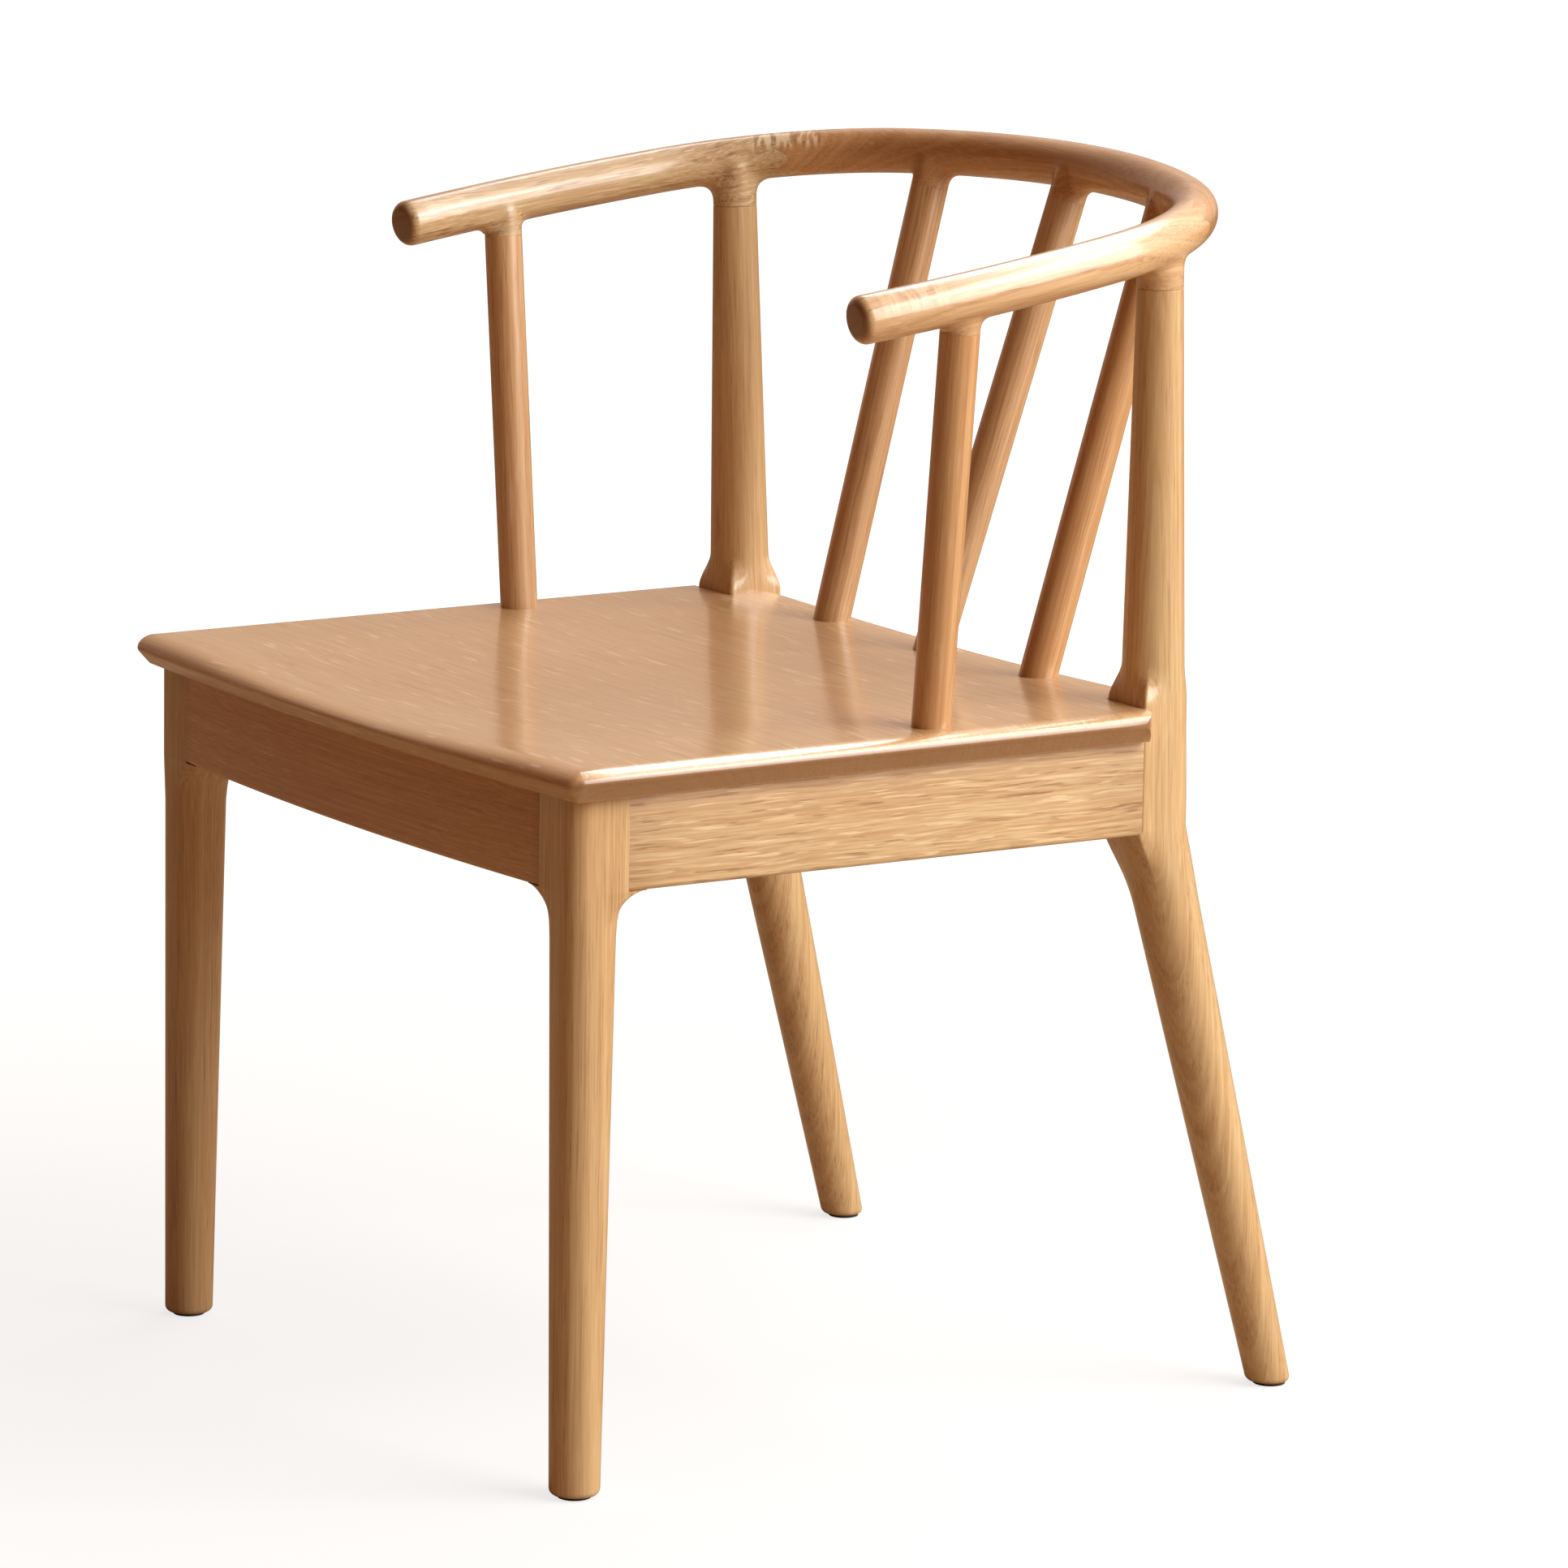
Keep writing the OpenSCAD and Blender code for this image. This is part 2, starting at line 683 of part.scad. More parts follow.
module crest_rail() {
    wing = heading(finger_s) + finger_turn;
    color(oak) difference() {
        union() {
            in_rail_plane() {
                crest_bar();
                corner_bar(heading_1, wing);
                on_right() corner_bar(heading_1, wing);
            }
            stub(0, spindle_base(0), spindle_d, spindle_stub, post_fillet);
            stub(spindle_top_gap, spindle_base(spindle_gap), spindle_d, spindle_stub,
                 post_fillet);
            on_right() stub(spindle_top_gap, spindle_base(spindle_gap), spindle_d,
                            spindle_stub, post_fillet);
        }
        in_rail_plane() {
            finger_block(1);
            on_right() finger_block(1);
        }
        stub_bore(0, spindle_base(0), post_tenon_d, post_tenon_len, spindle_stub);
        stub_bore(spindle_top_gap, spindle_base(spindle_gap), post_tenon_d, post_tenon_len,
                  spindle_stub);
        on_right() stub_bore(spindle_top_gap, spindle_base(spindle_gap), post_tenon_d,
                             post_tenon_len, spindle_stub);
    }
}

module arm_rail_left() {
    color(oak) difference() {
        union() {
            in_rail_plane() {
                corner_bar(heading(finger_s) - finger_turn, heading_2);
                arm_bar();
                rail_tip();
            }
            stub(back_post_s, back_base, back_post_top_d, back_stub, back_fillet);
            stub(arm_post_s, arm_base, arm_post_d, arm_stub, post_fillet);
        }
        in_rail_plane() finger_block(-1);
        stub_bore(back_post_s, back_base, back_tenon_d, back_tenon_len, back_stub);
        stub_bore(arm_post_s, arm_base, post_tenon_d, post_tenon_len, arm_stub);
    }
}

// ---- Corner blocks and their screws ----
block_z = seat_under - block_h;
front_block_y = front_leg_back + block_reach;     // end of the front blocks
rear_block_y = rear_leg_from_front - block_reach; // end of the rear blocks
side_x = frame_x - apron_t;                       // inner faces of the side aprons
tab_len = 20;                                     // length of each tab
front_block_x = front_leg_x - block_reach;
rear_block_x = rear_leg_x - block_reach;
front_tab_y = front_leg_from_front + apron_t + tab_t;   // face of the front tabs
rear_tab_y = rear_apron_front - tab_t;

module corner_block_front_left() {
    color(beech) difference() {
        translate([0, 0, block_z]) linear_extrude(block_h) polygon([
            [front_block_x, fy(front_leg_from_front)], [front_leg_x, fy(front_leg_from_front)],
            [front_leg_x, fy(front_leg_back)], [side_x, fy(front_leg_back)],
            [side_x, fy(front_block_y)], [side_x - tab_t, fy(front_block_y)],
            [side_x - tab_t, fy(front_block_y - tab_len)],
            [front_block_x + tab_len, fy(front_tab_y)], [front_block_x, fy(front_tab_y)]
        ]);
        translate([0, 0, block_z - 1]) difference() {
            translate([0, fy(-apron_t), 0]) cube([seat_w, front_tab_y + apron_t, block_h + 2]);
            bow_cylinder(bow_r - apron_t, block_h + 2);
        }
        front_block_screw_places() block_screw_bore();
        seat_screw_place_front() translate([0, 0, -block_h * 2])
            cylinder(d = screw_d + fit, h = block_h * 3);
    }
}

module corner_block_rear_left() {
    color(beech) difference() {
        translate([0, 0, block_z]) linear_extrude(block_h) polygon([
            [side_x, fy(rear_block_y)], [side_x, fy(rear_leg_from_front)],
            [rear_leg_x, fy(rear_leg_from_front)], [rear_leg_x, fy(rear_apron_front)],
            [rear_block_x, fy(rear_apron_front)], [rear_block_x, fy(rear_tab_y)],
            [rear_block_x + tab_len, fy(rear_tab_y)],
            [side_x - tab_t, fy(rear_block_y + tab_len)], [side_x - tab_t, fy(rear_block_y)]
        ]);
        rear_block_screw_places() block_screw_bore();
        seat_screw_place_rear() translate([0, 0, -block_h * 2])
            cylinder(d = screw_d + fit, h = block_h * 3);
    }
}

// Each screw place has its origin on the face that the head sits on, +z into the work
module front_block_screw_places() {
    z = block_z + block_h / 2;
    translate([side_x - tab_t, fy(front_block_y - tab_len / 2), z])
        rotate([0, 90, 0]) children();
    translate([front_block_x + tab_len / 2, fy(front_tab_y), z])
        rotate([90, 0, 0]) children();
}

module rear_block_screw_places() {
    z = block_z + block_h / 2;
    translate([side_x - tab_t, fy(rear_block_y + tab_len / 2), z])
        rotate([0, 90, 0]) children();
    translate([rear_block_x + tab_len / 2, fy(rear_tab_y), z])
        rotate([-90, 0, 0]) children();
}

// Bore for a screw through the tab of a block and into the apron behind it
module block_screw_bore() {
    translate([0, 0, -1]) cylinder(d = screw_d + fit, h = 1 + tab_t + screw_bite + fit);
}

module seat_screw_place_front() {
    translate([front_leg_x - tab_t, fy(front_leg_back + tab_t), seat_under]) children();
}

module seat_screw_place_rear() {
    translate([rear_leg_x - tab_t, fy(rear_leg_from_front - tab_t), seat_under]) children();
}

module seat_screw_places() {
    seat_screw_place_front() children();
    seat_screw_place_rear() children();
    on_right() seat_screw_place_front() children();
    on_right() seat_screw_place_rear() children();
}

// Pan-head screw: its head rests on z = 0 and its shank points along +z
module screw(length) {
    translate([0, 0, -screw_head_h]) cylinder(d = screw_head_d, h = screw_head_h, $fn = 48);
    cylinder(d = screw_d, h = length, $fn = 48);
}

module corner_block_screws() {
    color(steel) {
        front_block_screw_places() screw(tab_t + screw_bite);
        rear_block_screw_places() screw(tab_t + screw_bite);
        on_right() front_block_screw_places() screw(tab_t + screw_bite);
        on_right() rear_block_screw_places() screw(tab_t + screw_bite);
    }
}

module seat_screws() {
    color(steel) seat_screw_places()
        translate([0, 0, -block_h]) screw(block_h + screw_bite);
}

// ---- Glides ----
module glide_bore() {
    translate([0, 0, -1]) cylinder(d = glide_stem_d + fit, h = glide_stem_len + 1 + fit);
}

module glide() {
    translate([0, 0, -glide_t]) cylinder(d = glide_d, h = glide_t);
    cylinder(d = glide_stem_d, h = glide_stem_len);
}

module glide_front_left() {
    color(nylon) translate(front_foot) glide();
}

module glide_rear_left() {
    color(nylon) translate(rear_foot) glide();
}

seat_panel();
front_apron();
rear_apron();
side_apron_left();
on_right() side_apron_left();  // side_apron_right
front_leg_left();
on_right() front_leg_left();  // front_leg_right
rear_leg_left();
on_right() rear_leg_left();  // rear_leg_right
crest_rail();
arm_rail_left();
on_right() arm_rail_left();  // arm_rail_right
arm_post_left();
on_right() arm_post_left();  // arm_post_right
back_spindle_left();
back_spindle_centre();
on_right() back_spindle_left();  // back_spindle_right
corner_block_front_left();
on_right() corner_block_front_left();  // corner_block_front_right
corner_block_rear_left();
on_right() corner_block_rear_left();  // corner_block_rear_right
corner_block_screws();
seat_screws();
glide_front_left();
on_right() glide_front_left();  // glide_front_right
glide_rear_left();
on_right() glide_rear_left();  // glide_rear_right
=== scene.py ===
"""Horseshoe-back dining armchair in satin oak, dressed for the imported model.

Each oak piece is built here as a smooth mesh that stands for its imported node, in millimetres,
and is written to Blender in metres. The corner blocks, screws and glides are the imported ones.
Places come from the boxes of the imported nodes. The left-hand pieces are built, and the
right-hand ones mirror them.
"""
import math
import random

import bmesh
import bpy
import numpy as np
from mathutils import Matrix, Vector


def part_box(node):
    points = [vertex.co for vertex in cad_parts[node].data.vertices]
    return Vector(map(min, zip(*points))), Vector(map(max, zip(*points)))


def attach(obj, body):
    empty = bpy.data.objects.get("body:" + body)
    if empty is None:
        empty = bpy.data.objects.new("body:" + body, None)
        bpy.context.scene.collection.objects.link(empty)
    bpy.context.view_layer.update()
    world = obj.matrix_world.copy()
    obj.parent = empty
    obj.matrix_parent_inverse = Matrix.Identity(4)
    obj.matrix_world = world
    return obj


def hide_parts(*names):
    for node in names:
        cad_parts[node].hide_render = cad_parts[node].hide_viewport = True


MM = 0.001
X, Y, Z = np.eye(3)

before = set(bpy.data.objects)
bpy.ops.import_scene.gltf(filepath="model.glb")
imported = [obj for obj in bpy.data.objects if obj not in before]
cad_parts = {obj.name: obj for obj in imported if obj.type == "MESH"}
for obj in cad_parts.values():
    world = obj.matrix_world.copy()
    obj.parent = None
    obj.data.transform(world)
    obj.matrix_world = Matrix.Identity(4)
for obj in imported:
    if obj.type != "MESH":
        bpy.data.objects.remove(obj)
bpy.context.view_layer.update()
random.seed(7)


def box(node):
    """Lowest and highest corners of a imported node, in millimetres."""
    low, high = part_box(node)
    return np.array(low) / MM, np.array(high) / MM


# ---- Sizes that the boxes don't give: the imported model's, with its soft edges refined ----
EASE_W, EASE_H = 13, 7             # eased top edge of the seat
FRONT_EASE_W, FRONT_EASE_H = 15, 9.3   # and along its front
BEVEL_IN = 8                       # run of the bevel under the seat's edge
SEAT_BOW = 10                      # how far the front edge bows forward
SEAT_DISH, SEAT_DISH_W = 4, 410    # shallow dish across the seat
DISH_POWER = 1.3                   # how softly it ends at its sides
SEAT_CORNER_R = 9                  # front corners in plan
SEAT_RETURN_R = 11                 # side edge where it meets the rear leg
SEAT_GAP = 0.2                     # between the seat and the rear leg
APRON_T, APRON_BOW = 20, 9         # aprons, and how far the front one bows forward
APRON_EDGE_R = 2.6                 # their rounded lower outer edge
REAR_APRON_INSET = 11              # from the back of the rear leg to the rear apron
LEG_W, LEG_EDGE_R = 38, 12         # front leg at the apron and its rounded outer edge
SHAFT_W, SHAFT_R = 36, 14.5        # where its shaft begins, and its rounded edges
EAR_R, EAR_BLEND = 13.5, 28        # ears of the front legs, and the height they form in
CRISP_R = 2.2                      # the front leg's inner edges, where the ears end
FRONT_FOOT_D = 30.5
REAR_W = 40                        # rear leg at the apron
REAR_BACK_R = 18                   # its rounded outer back corner
REAR_NECK, REAR_NECK_D = 58, 40.5  # where it has become round, below the apron
REAR_FOOT_D = 28
REAR_SPLAY, REAR_RAKE = 9, 97      # foot's place from the block, sideways and back
REAR_EAR, REAR_EAR_H = 4.5, 38     # how the rear leg fills out forward under the apron
REAR_SWELL = 2.2                   # and backward, where it bends
SWELL_IN, SWELL_OUT = 68, 70       # the swell grows down from the seat over the first, and
SWELL_TOP = 4                      # fades over the second from this far above the apron's edge
SIDE_APRON_DROP = 2.2              # how much deeper a side apron is at the back
FOOT_ROUND = 4
ARRIS = 0.6                        # light rounding of crisp edges
POST_D, POST_TOP_D = 38, 28.4      # rear post above its shoulders and at the rail
SHOULDER_H = 25                    # the square has become round at this height
THIN_D = 24                        # arm posts and spindles
ARM_POST_INSET, ARM_POST_BACK = 29, 277.5   # from the side and the front of the seat
SPINDLE_GAP, SPINDLE_BACK = 116, 440        # on the seat: apart, and from its front
SPINDLE_TOP = 130                  # apart along the crest
RAIL_D = 29.1
RAIL_TILT = math.radians(8)        # down towards the tips
BENDS = ((414.5, math.radians(21.45)),      # radius and angle of the crest's half,
         (167.5, math.radians(59.8)),       # the back corner
         (753, 173 / 753))                  # and the arm, which is 173 long
TIP_LEN, TIP_R = 16, 6             # straight tip and its rounding
BACK_POST_S, ARM_POST_FROM_TIP = 275.5, 76  # along the rail, from its middle and its tip
POST_OFFSET = 3                    # post lines run this far inside the rail's middle
BACK_STUB, ARM_STUB, SPINDLE_STUB = 29, 21, 23      # from the rail's middle to each seam
BACK_BLEND, THIN_BLEND = 11, 8.5   # reach of the blends between rail and posts
FINGER_S, FINGER_LEN, FINGERS = 236, 24, 5  # place along the rail, length and number
FINGER_GAP = 0.04                  # glue line, from its middle to each side
HOUSING = 5                        # posts are let into the seat
SEAM, THIN_SEAM = 0.35, 0.12       # fine chamfers that show each seam, less on thin posts
SHARP = 38                         # edges sharper than this stay crisp, in degrees
HAIR = 0.02                        # keeps points apart that would otherwise meet

seat_low, seat_high = box("seat_panel")
apron_low, apron_high = box("side_apron_left")
front_low, _ = box("front_leg_left")
rear_low, _ = box("rear_leg_left")
_, crest_high = box("crest_rail")

seat_top, seat_under = seat_high[2], seat_low[2]
seat_half, seat_front, seat_back = seat_high[0], seat_low[1], seat_high[1]
apron_z = apron_low[2]
frame_x = apron_high[0]
leg_front = front_low[1]
leg_back = leg_front + LEG_W
glide_t = front_low[2]
rear_inner, rear_front = rear_low[0], rear_low[1]
rear_mid = np.array([rear_inner, rear_front]) + REAR_W / 2
rail_r = RAIL_D / 2
rail_origin = np.array([0, crest_high[1] - rail_r, crest_high[2] - rail_r])


def unit(v):
    v = np.asarray(v, float)
    return v / np.linalg.norm(v, axis=-1, keepdims=True)


# ---- Line of the rail: three tangent arcs each side, in a plane tilted about X ----
def bend_table():
    """Centre, radius, first and last heading, and first length of each arc."""
    rows, heading, length = [], 0.0, 0.0
    centre, radius = np.array([0.0, -BENDS[0][0]]), BENDS[0][0]
    for r, angle in BENDS:
        centre = centre + (radius - r) * np.array([math.sin(heading), math.cos(heading)])
        rows.append((centre, r, heading, heading + angle, length))
        radius, heading, length = r, heading + angle, length + r * angle
    return rows, length


ARCS, END_S = bend_table()
RAIL_END = END_S + TIP_LEN
PLANE_V = np.array([0, math.cos(RAIL_TILT), math.sin(RAIL_TILT)])
PLANE_W = np.array([0, -math.sin(RAIL_TILT), math.cos(RAIL_TILT)])


def in_space(u, v):
    return np.multiply.outer(u, X) + np.multiply.outer(v, PLANE_V)


def rail_at(s):
    """Middle of the rail, the way along it and the way out of its bend, at a length s."""
    side, t = math.copysign(1, s), abs(s)
    centre, r, heading, _, first = [row for row in ARCS if t >= row[4]][-1]
    heading += (min(t, END_S) - first) / r
    out = np.array([math.sin(heading), math.cos(heading)])
    along = np.array([math.cos(heading), -math.sin(heading)])
    u, v = centre + r * out + max(t - END_S, 0) * along
    return (rail_origin + in_space(side * u, v), in_space(along[0], side * along[1]),
            in_space(side * out[0], out[1]))


def rail_distance(points):
    """Distance of points from the rail's surface, and the way out of it."""
    rel = points - rail_origin
    side = np.where(rel[:, 0] < 0, -1, 1)
    uv = np.stack([np.abs(rel[:, 0]), rel @ PLANE_V], 1)
    away, todo = np.zeros_like(uv), np.ones(len(uv), bool)
    for centre, r, _, last, _ in ARCS:
        q = uv - centre
        reach = np.linalg.norm(q, axis=1)
        here = todo & ((np.arctan2(q[:, 0], q[:, 1]) <= last) | (r == BENDS[-1][0]))
        away[here] = (q * ((reach - r) / reach)[:, None])[here]
        todo &= ~here
    normal = in_space(away[:, 0] * side, away[:, 1]) + np.outer(rel @ PLANE_W, PLANE_W)
    return np.linalg.norm(normal, axis=1) - rail_r, unit(normal + 1e-9)


# ---- Where each upright stands and where its line meets the rail ----
def dish_at(x):
    """Depth of the seat's dish at a place across it."""
    k = np.clip(1 - (np.asarray(x, float) / (SEAT_DISH_W / 2)) ** 2, 0, 1)
    return SEAT_DISH * k ** DISH_POWER


def rail_target(s):
    """Where the line of an upright ends, just inside the rail's middle."""
    middle, _, out = rail_at(s)
    return middle - POST_OFFSET * out


ARM_POST_S = RAIL_END - ARM_POST_FROM_TIP
arm_base = np.array([seat_half - ARM_POST_INSET, seat_front + ARM_POST_BACK, seat_top])
back_base = np.array([*rear_mid, seat_top])
spindle_base = {
    k: np.array([k * SPINDLE_GAP, seat_front + SPINDLE_BACK, seat_top - 0.9 * SEAT_DISH])
    for k in (-1, 0, 1)
}


# ---- Meshes ----
def new_mesh(points, faces):
    """Mesh in metres from points in millimetres, with doubles merged."""
    mesh = bpy.data.meshes.new("piece")
    mesh.from_pydata((np.asarray(points) * MM).tolist(), [], faces)
    tidy = bmesh.new()
    tidy.from_mesh(mesh)
    bmesh.ops.remove_doubles(tidy, verts=tidy.verts, dist=1e-6)
    bmesh.ops.recalc_face_normals(tidy, faces=tidy.faces)
    tidy.to_mesh(mesh)
    tidy.free()
    return mesh


def strips(rims):
    """Quads between each closed rim of point numbers and the next."""
    count = len(rims[0])
    return [[one[k], one[(k + 1) % count], two[(k + 1) % count], two[k]]
            for one, two in zip(rims, rims[1:]) for k in range(count)]


def loft(rings):
    """Rings of equal numbers of points, joined by quads and closed at both ends."""
    count = len(rings[0])
    rims = [list(range(i * count, (i + 1) * count)) for i in range(len(rings))]
    return np.concatenate(rings), strips(rims) + [rims[0][::-1], rims[-1]]


def prism(outline, origin, u, v, w, low, high):
    """Solid between two heights along w over a flat outline of (u, v) points."""
    rings = [np.array([origin + a * u + b * v + h * w for a, b in outline])
             for h in (low, high)]
    return loft(rings)


def new_object(name, data):
    """An object that is in the scene."""
    thing = bpy.data.objects.new(name, data)
    bpy.context.scene.collection.objects.link(thing)
    return thing


def flipped(cutter):
    points, faces = cutter
    return points * [-1, 1, 1], faces


def cut(mesh, *cutters):
    """The mesh less each cutter, given as points and faces."""
    body = new_object("body", mesh)
    tools = [new_object("tool", new_mesh(*cutter)) for cutter in cutters]
    for tool in tools:
        mod = body.modifiers.new("cut", "BOOLEAN")
        mod.operation, mod.solver, mod.object = "DIFFERENCE", "EXACT", tool
    graph = bpy.context.evaluated_depsgraph_get()
    result = bpy.data.meshes.new_from_object(body.evaluated_get(graph))
    for thing in [body, *tools]:
        bpy.data.objects.remove(thing)
    return result


def mirrored(mesh):
    copy = mesh.copy()
    copy.transform(Matrix.Diagonal((-1, 1, 1, 1)))
    copy.flip_normals()
    return copy


def smooth(t):
    """Eased step from 0 to 1."""
    t = np.clip(t, 0, 1)
    return t * t * (3 - 2 * t)


def read_vectors(items, field):
    values = np.zeros(len(items) * 3)
    items.foreach_get(field, values)
    return values.reshape(-1, 3)


def write_values(mesh, name, values):
    """Writes numbers or vectors on the mesh's points, for the material to read."""
    kind, field = ("FLOAT", "value") if values.ndim == 1 else ("FLOAT_VECTOR", "vector")
    mesh.attributes.new(name, kind, "POINT").data.foreach_set(field, values.ravel())


# ---- Wood coordinates ----
PITH_SPANS = (0.05, 0.09), (0.03, 0.07)    # from a piece's middle to its pith, in metres
BOARD_SPAN = 30                    # each piece starts somewhere in this length of grain
END_REACH = 0.03                   # end grain lies within this of a piece's ends
RAY_FADE = 0.006                   # soft border of a patch of rays


def wood_place(local, pith, turn):
    """The wood's own coordinates: along the fibres first, then across them from its pith."""
    turn = random.uniform(-0.5, 0.5) if turn is None else turn
    local = local @ np.array(
        [[1, 0, 0], [0, math.cos(turn), -math.sin(turn)], [0, math.sin(turn), math.cos(turn)]])
    if pith is None:
        pith = [random.choice((-1, 1)) * random.uniform(*span) for span in PITH_SPANS]
    return local + [random.uniform(-BOARD_SPAN, BOARD_SPAN), *pith]


def ray_patch(co, normals, side, s, reach, facing, amount):
    """Where the rail's surface lies along the wood's rays, which shows as short bright flecks
    across it: the place along and across the rail, and how much shows there."""
    flip = np.array([side, 1, 1])
    middle, way, out = (v * flip for v in rail_at(s))
    run, away = (co - middle * MM) @ way, (co - middle * MM) @ out
    shows = amount * smooth((normals @ unit(np.array(facing)) - 0.4) / 0.35)
    shows = shows * smooth((reach * MM - np.abs(run)) / RAY_FADE)
    return np.stack([run, away, shows], 1)


def mark_wood(mesh, along, across, pith, turn, tone, rays):
    """Writes what the wood's material reads: grain, rays, end grain, and a tone that is mostly
    painted light and shade.
    """
    co = read_vectors(mesh.vertices, "co")
    normals = read_vectors(mesh.vertex_normals, "vector")
    along = unit(along)
    across = unit(across - along * np.dot(across, along))
    local = np.stack([co @ along, co @ across, co @ np.cross(along, across)], 1)
    local -= (local.max(0) + local.min(0)) / 2
    run = np.abs(local[:, 0])
    ends = smooth((np.abs(normals @ along) - 0.55) / 0.4)
    ends = ends * smooth((run - run.max() + END_REACH) / 0.01)
    write_values(mesh, "grain", wood_place(local, pith, turn))
    if rays:
        write_values(mesh, "rays", ray_patch(co, normals, *rays))
    write_values(mesh, "end_grain", ends)
    write_values(mesh, "tone", np.full(len(co), tone))


def finish_piece(name, mesh, nodes, material, along, across=Y, pith=None, turn=None, tone=1.0,
                 rays=None):
    """Makes the object: smooth shading, wood, and its place in the model. Its fibres run along,
    and each piece comes from its own board. Its tone makes the whole piece lighter or darker,
    and is mostly painted light and shade: darker where less light falls on it."""
    mesh.shade_smooth()
    mesh.set_sharp_from_angle(angle=math.radians(SHARP))
    mark_wood(mesh, along, across, pith, turn, tone, rays)
    mesh.materials.clear()
    mesh.materials.append(material)
    piece = new_object(name, mesh)
    mesh.name = name
    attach(piece, "root")
    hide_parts(*nodes)


def both_sides(stem, node_stem, mesh, materials, along, across=Y, board_and_shade_tones=(1.0, 1.0),
               rays=(None, None)):
    """The left piece and its mirror image on the right, each with its own wood and its own tone,
    which paints light and shade on it.
    """
    pair = (("_left", 1, mesh), ("_right", -1, mirrored(mesh)))
    for (side, sign, half), material, tone, patch in zip(pair, materials, board_and_shade_tones, rays):
        flip = np.array([sign, 1, 1])
        finish_piece(stem + side, half, [node_stem + side], material, along * flip,
                     across * flip, tone=tone, rays=patch)


# ---- Outlines ----
def rounded(corners):
    """Outline through corners given as (x, y, radius, segments), anticlockwise."""
    points = []
    count = len(corners)
    for i, (x, y, r, segments) in enumerate(corners):
        here = np.array([x, y], float)
        before = unit(corners[i - 1][:2] - here)
        after = unit(corners[(i + 1) % count][:2] - here)
        if segments == 0:
            points.append(here)
            continue
        half = math.acos(np.clip(before @ after, -1, 1)) / 2
        centre = here + unit(before + after) * r / math.sin(half)
        start = here + before * r / math.tan(half) - centre
        end = here + after * r / math.tan(half) - centre
        a0 = math.atan2(start[1], start[0])
        sweep = (math.atan2(end[1], end[0]) - a0 + math.pi) % (2 * math.pi) - math.pi
        for k in range(segments + 1):
            a = a0 + sweep * k / segments
            points.append(centre + r * np.array([math.cos(a), math.sin(a)]))
    return np.array(points)


def level(outline, z):
    """A flat outline at a height."""
    return np.column_stack([outline, np.full(len(outline), float(z))])


# ---- Seat ----
# The bevelled edge from below up: how far in, and how far down as a share of its height
BEVEL = ((BEVEL_IN + 0.3, 1.0), (BEVEL_IN - 0.3, 0.98), (BEVEL_IN - 0.9, 0.91), (1.5, 0.27),
         (0.75, 0.17), (0.25, 0.085), (0.02, 0.0))


def seat_outline(inset):
    """Bowed front, rounded front corners and straight back, drawn in by an inset."""
    half, r = seat_half - inset, max(SEAT_CORNER_R - inset, 1)
    back, side = seat_back - inset, seat_front + 40
    corner_y = seat_front + SEAT_BOW + inset + r

    def corner(x, start, end):
        return [(x + r * math.cos(a), corner_y + r * math.sin(a))
                for a in np.linspace(start, end, 9)]

    points = [(x, back) for x in np.linspace(-half, half, 25)][::-1]
    points += [(-half, y) for y in np.linspace(back, side, 20)[1:]]
    points += corner(-half + r, math.pi, 1.5 * math.pi)
    points += [(k * (half - r), seat_front + inset + SEAT_BOW * k * k)
               for k in np.linspace(-1, 1, 41)[1:-1]]
    points += corner(half - r, 1.5 * math.pi, 2 * math.pi)
    points += [(half, y) for y in np.linspace(side, back, 20)[:-1]]
    return np.array(points)


def seat_ring(inset, drop):
    """Outline drawn in and let down point by point."""
    side, fore = seat_outline(inset.min()), seat_outline(inset.max())
    k = (inset - inset.min()) / max(np.ptp(inset), 1e-6)
    ring = level(side + (fore - side) * k[:, None], seat_top)
    ring[:, 2] -= drop
    return ring


def seat_rings():
    """Rings over the bevel, the eased edge and the dished top."""
    rim = seat_outline(0)
    way = unit(np.roll(rim, -1, 0) - np.roll(rim, 1, 0))
    front = np.clip(way[:, 0], 0, 1)           # 1 along the front edge, 0 along the others
    ease_w = EASE_W + (FRONT_EASE_W - EASE_W) * front
    ease_h = EASE_H + (FRONT_EASE_H - EASE_H) * front
    rings = [seat_ring(np.full(len(rim), inset), ease_h + (seat_top - seat_under - ease_h) * k)
             for inset, k in BEVEL]
    for t in np.radians(np.linspace(86, 0, 18)):
        inset = ease_w * (1 - math.sin(t))
        dish = dish_at(seat_ring(inset, 0)[:, 0])
        rings.append(seat_ring(inset, dish + (ease_h - dish) * (1 - math.cos(t))))
    inner, middle = rings[-1][:, :2], np.array([0, (seat_front + seat_back) / 2])
    for k in np.linspace(1, 0.04, 26)[1:]:
        ring = level(middle + (inner - middle) * k, seat_top)
        ring[:, 2] -= dish_at(ring[:, 0])
        rings.append(ring)
    return rings


def leg_notch():
    """Block that clears the left rear leg, with the rounded return of the seat's side."""
    inner, gap_y = rear_inner - SEAT_GAP, rear_front - SEAT_GAP
    r, far, wide = SEAT_RETURN_R + 0.05, seat_back + 20, seat_half + 9
    notch = [(inner, far), (inner, gap_y)]
    notch += [(seat_half - r + r * math.sin(a), gap_y - r + r * math.cos(a))
              for a in np.radians(np.linspace(0, 88, 12))]
    notch += [(wide, gap_y - r), (wide, far)]
    return prism(notch, np.zeros(3), X, Y, Z, seat_under - 5, seat_top + 5)


def seat_mesh():
    notch = leg_notch()
    return cut(new_mesh(*loft(seat_rings())), notch, flipped(notch))


# ---- Aprons ----
def board_section():
    """Upright section of an apron: (depth from its outer face, height) with fine edges."""
    return rounded([(0, apron_z, APRON_EDGE_R, 8), (APRON_T, apron_z, ARRIS, 3),
                    (APRON_T, seat_under, ARRIS, 3), (0, seat_under, ARRIS, 3)])


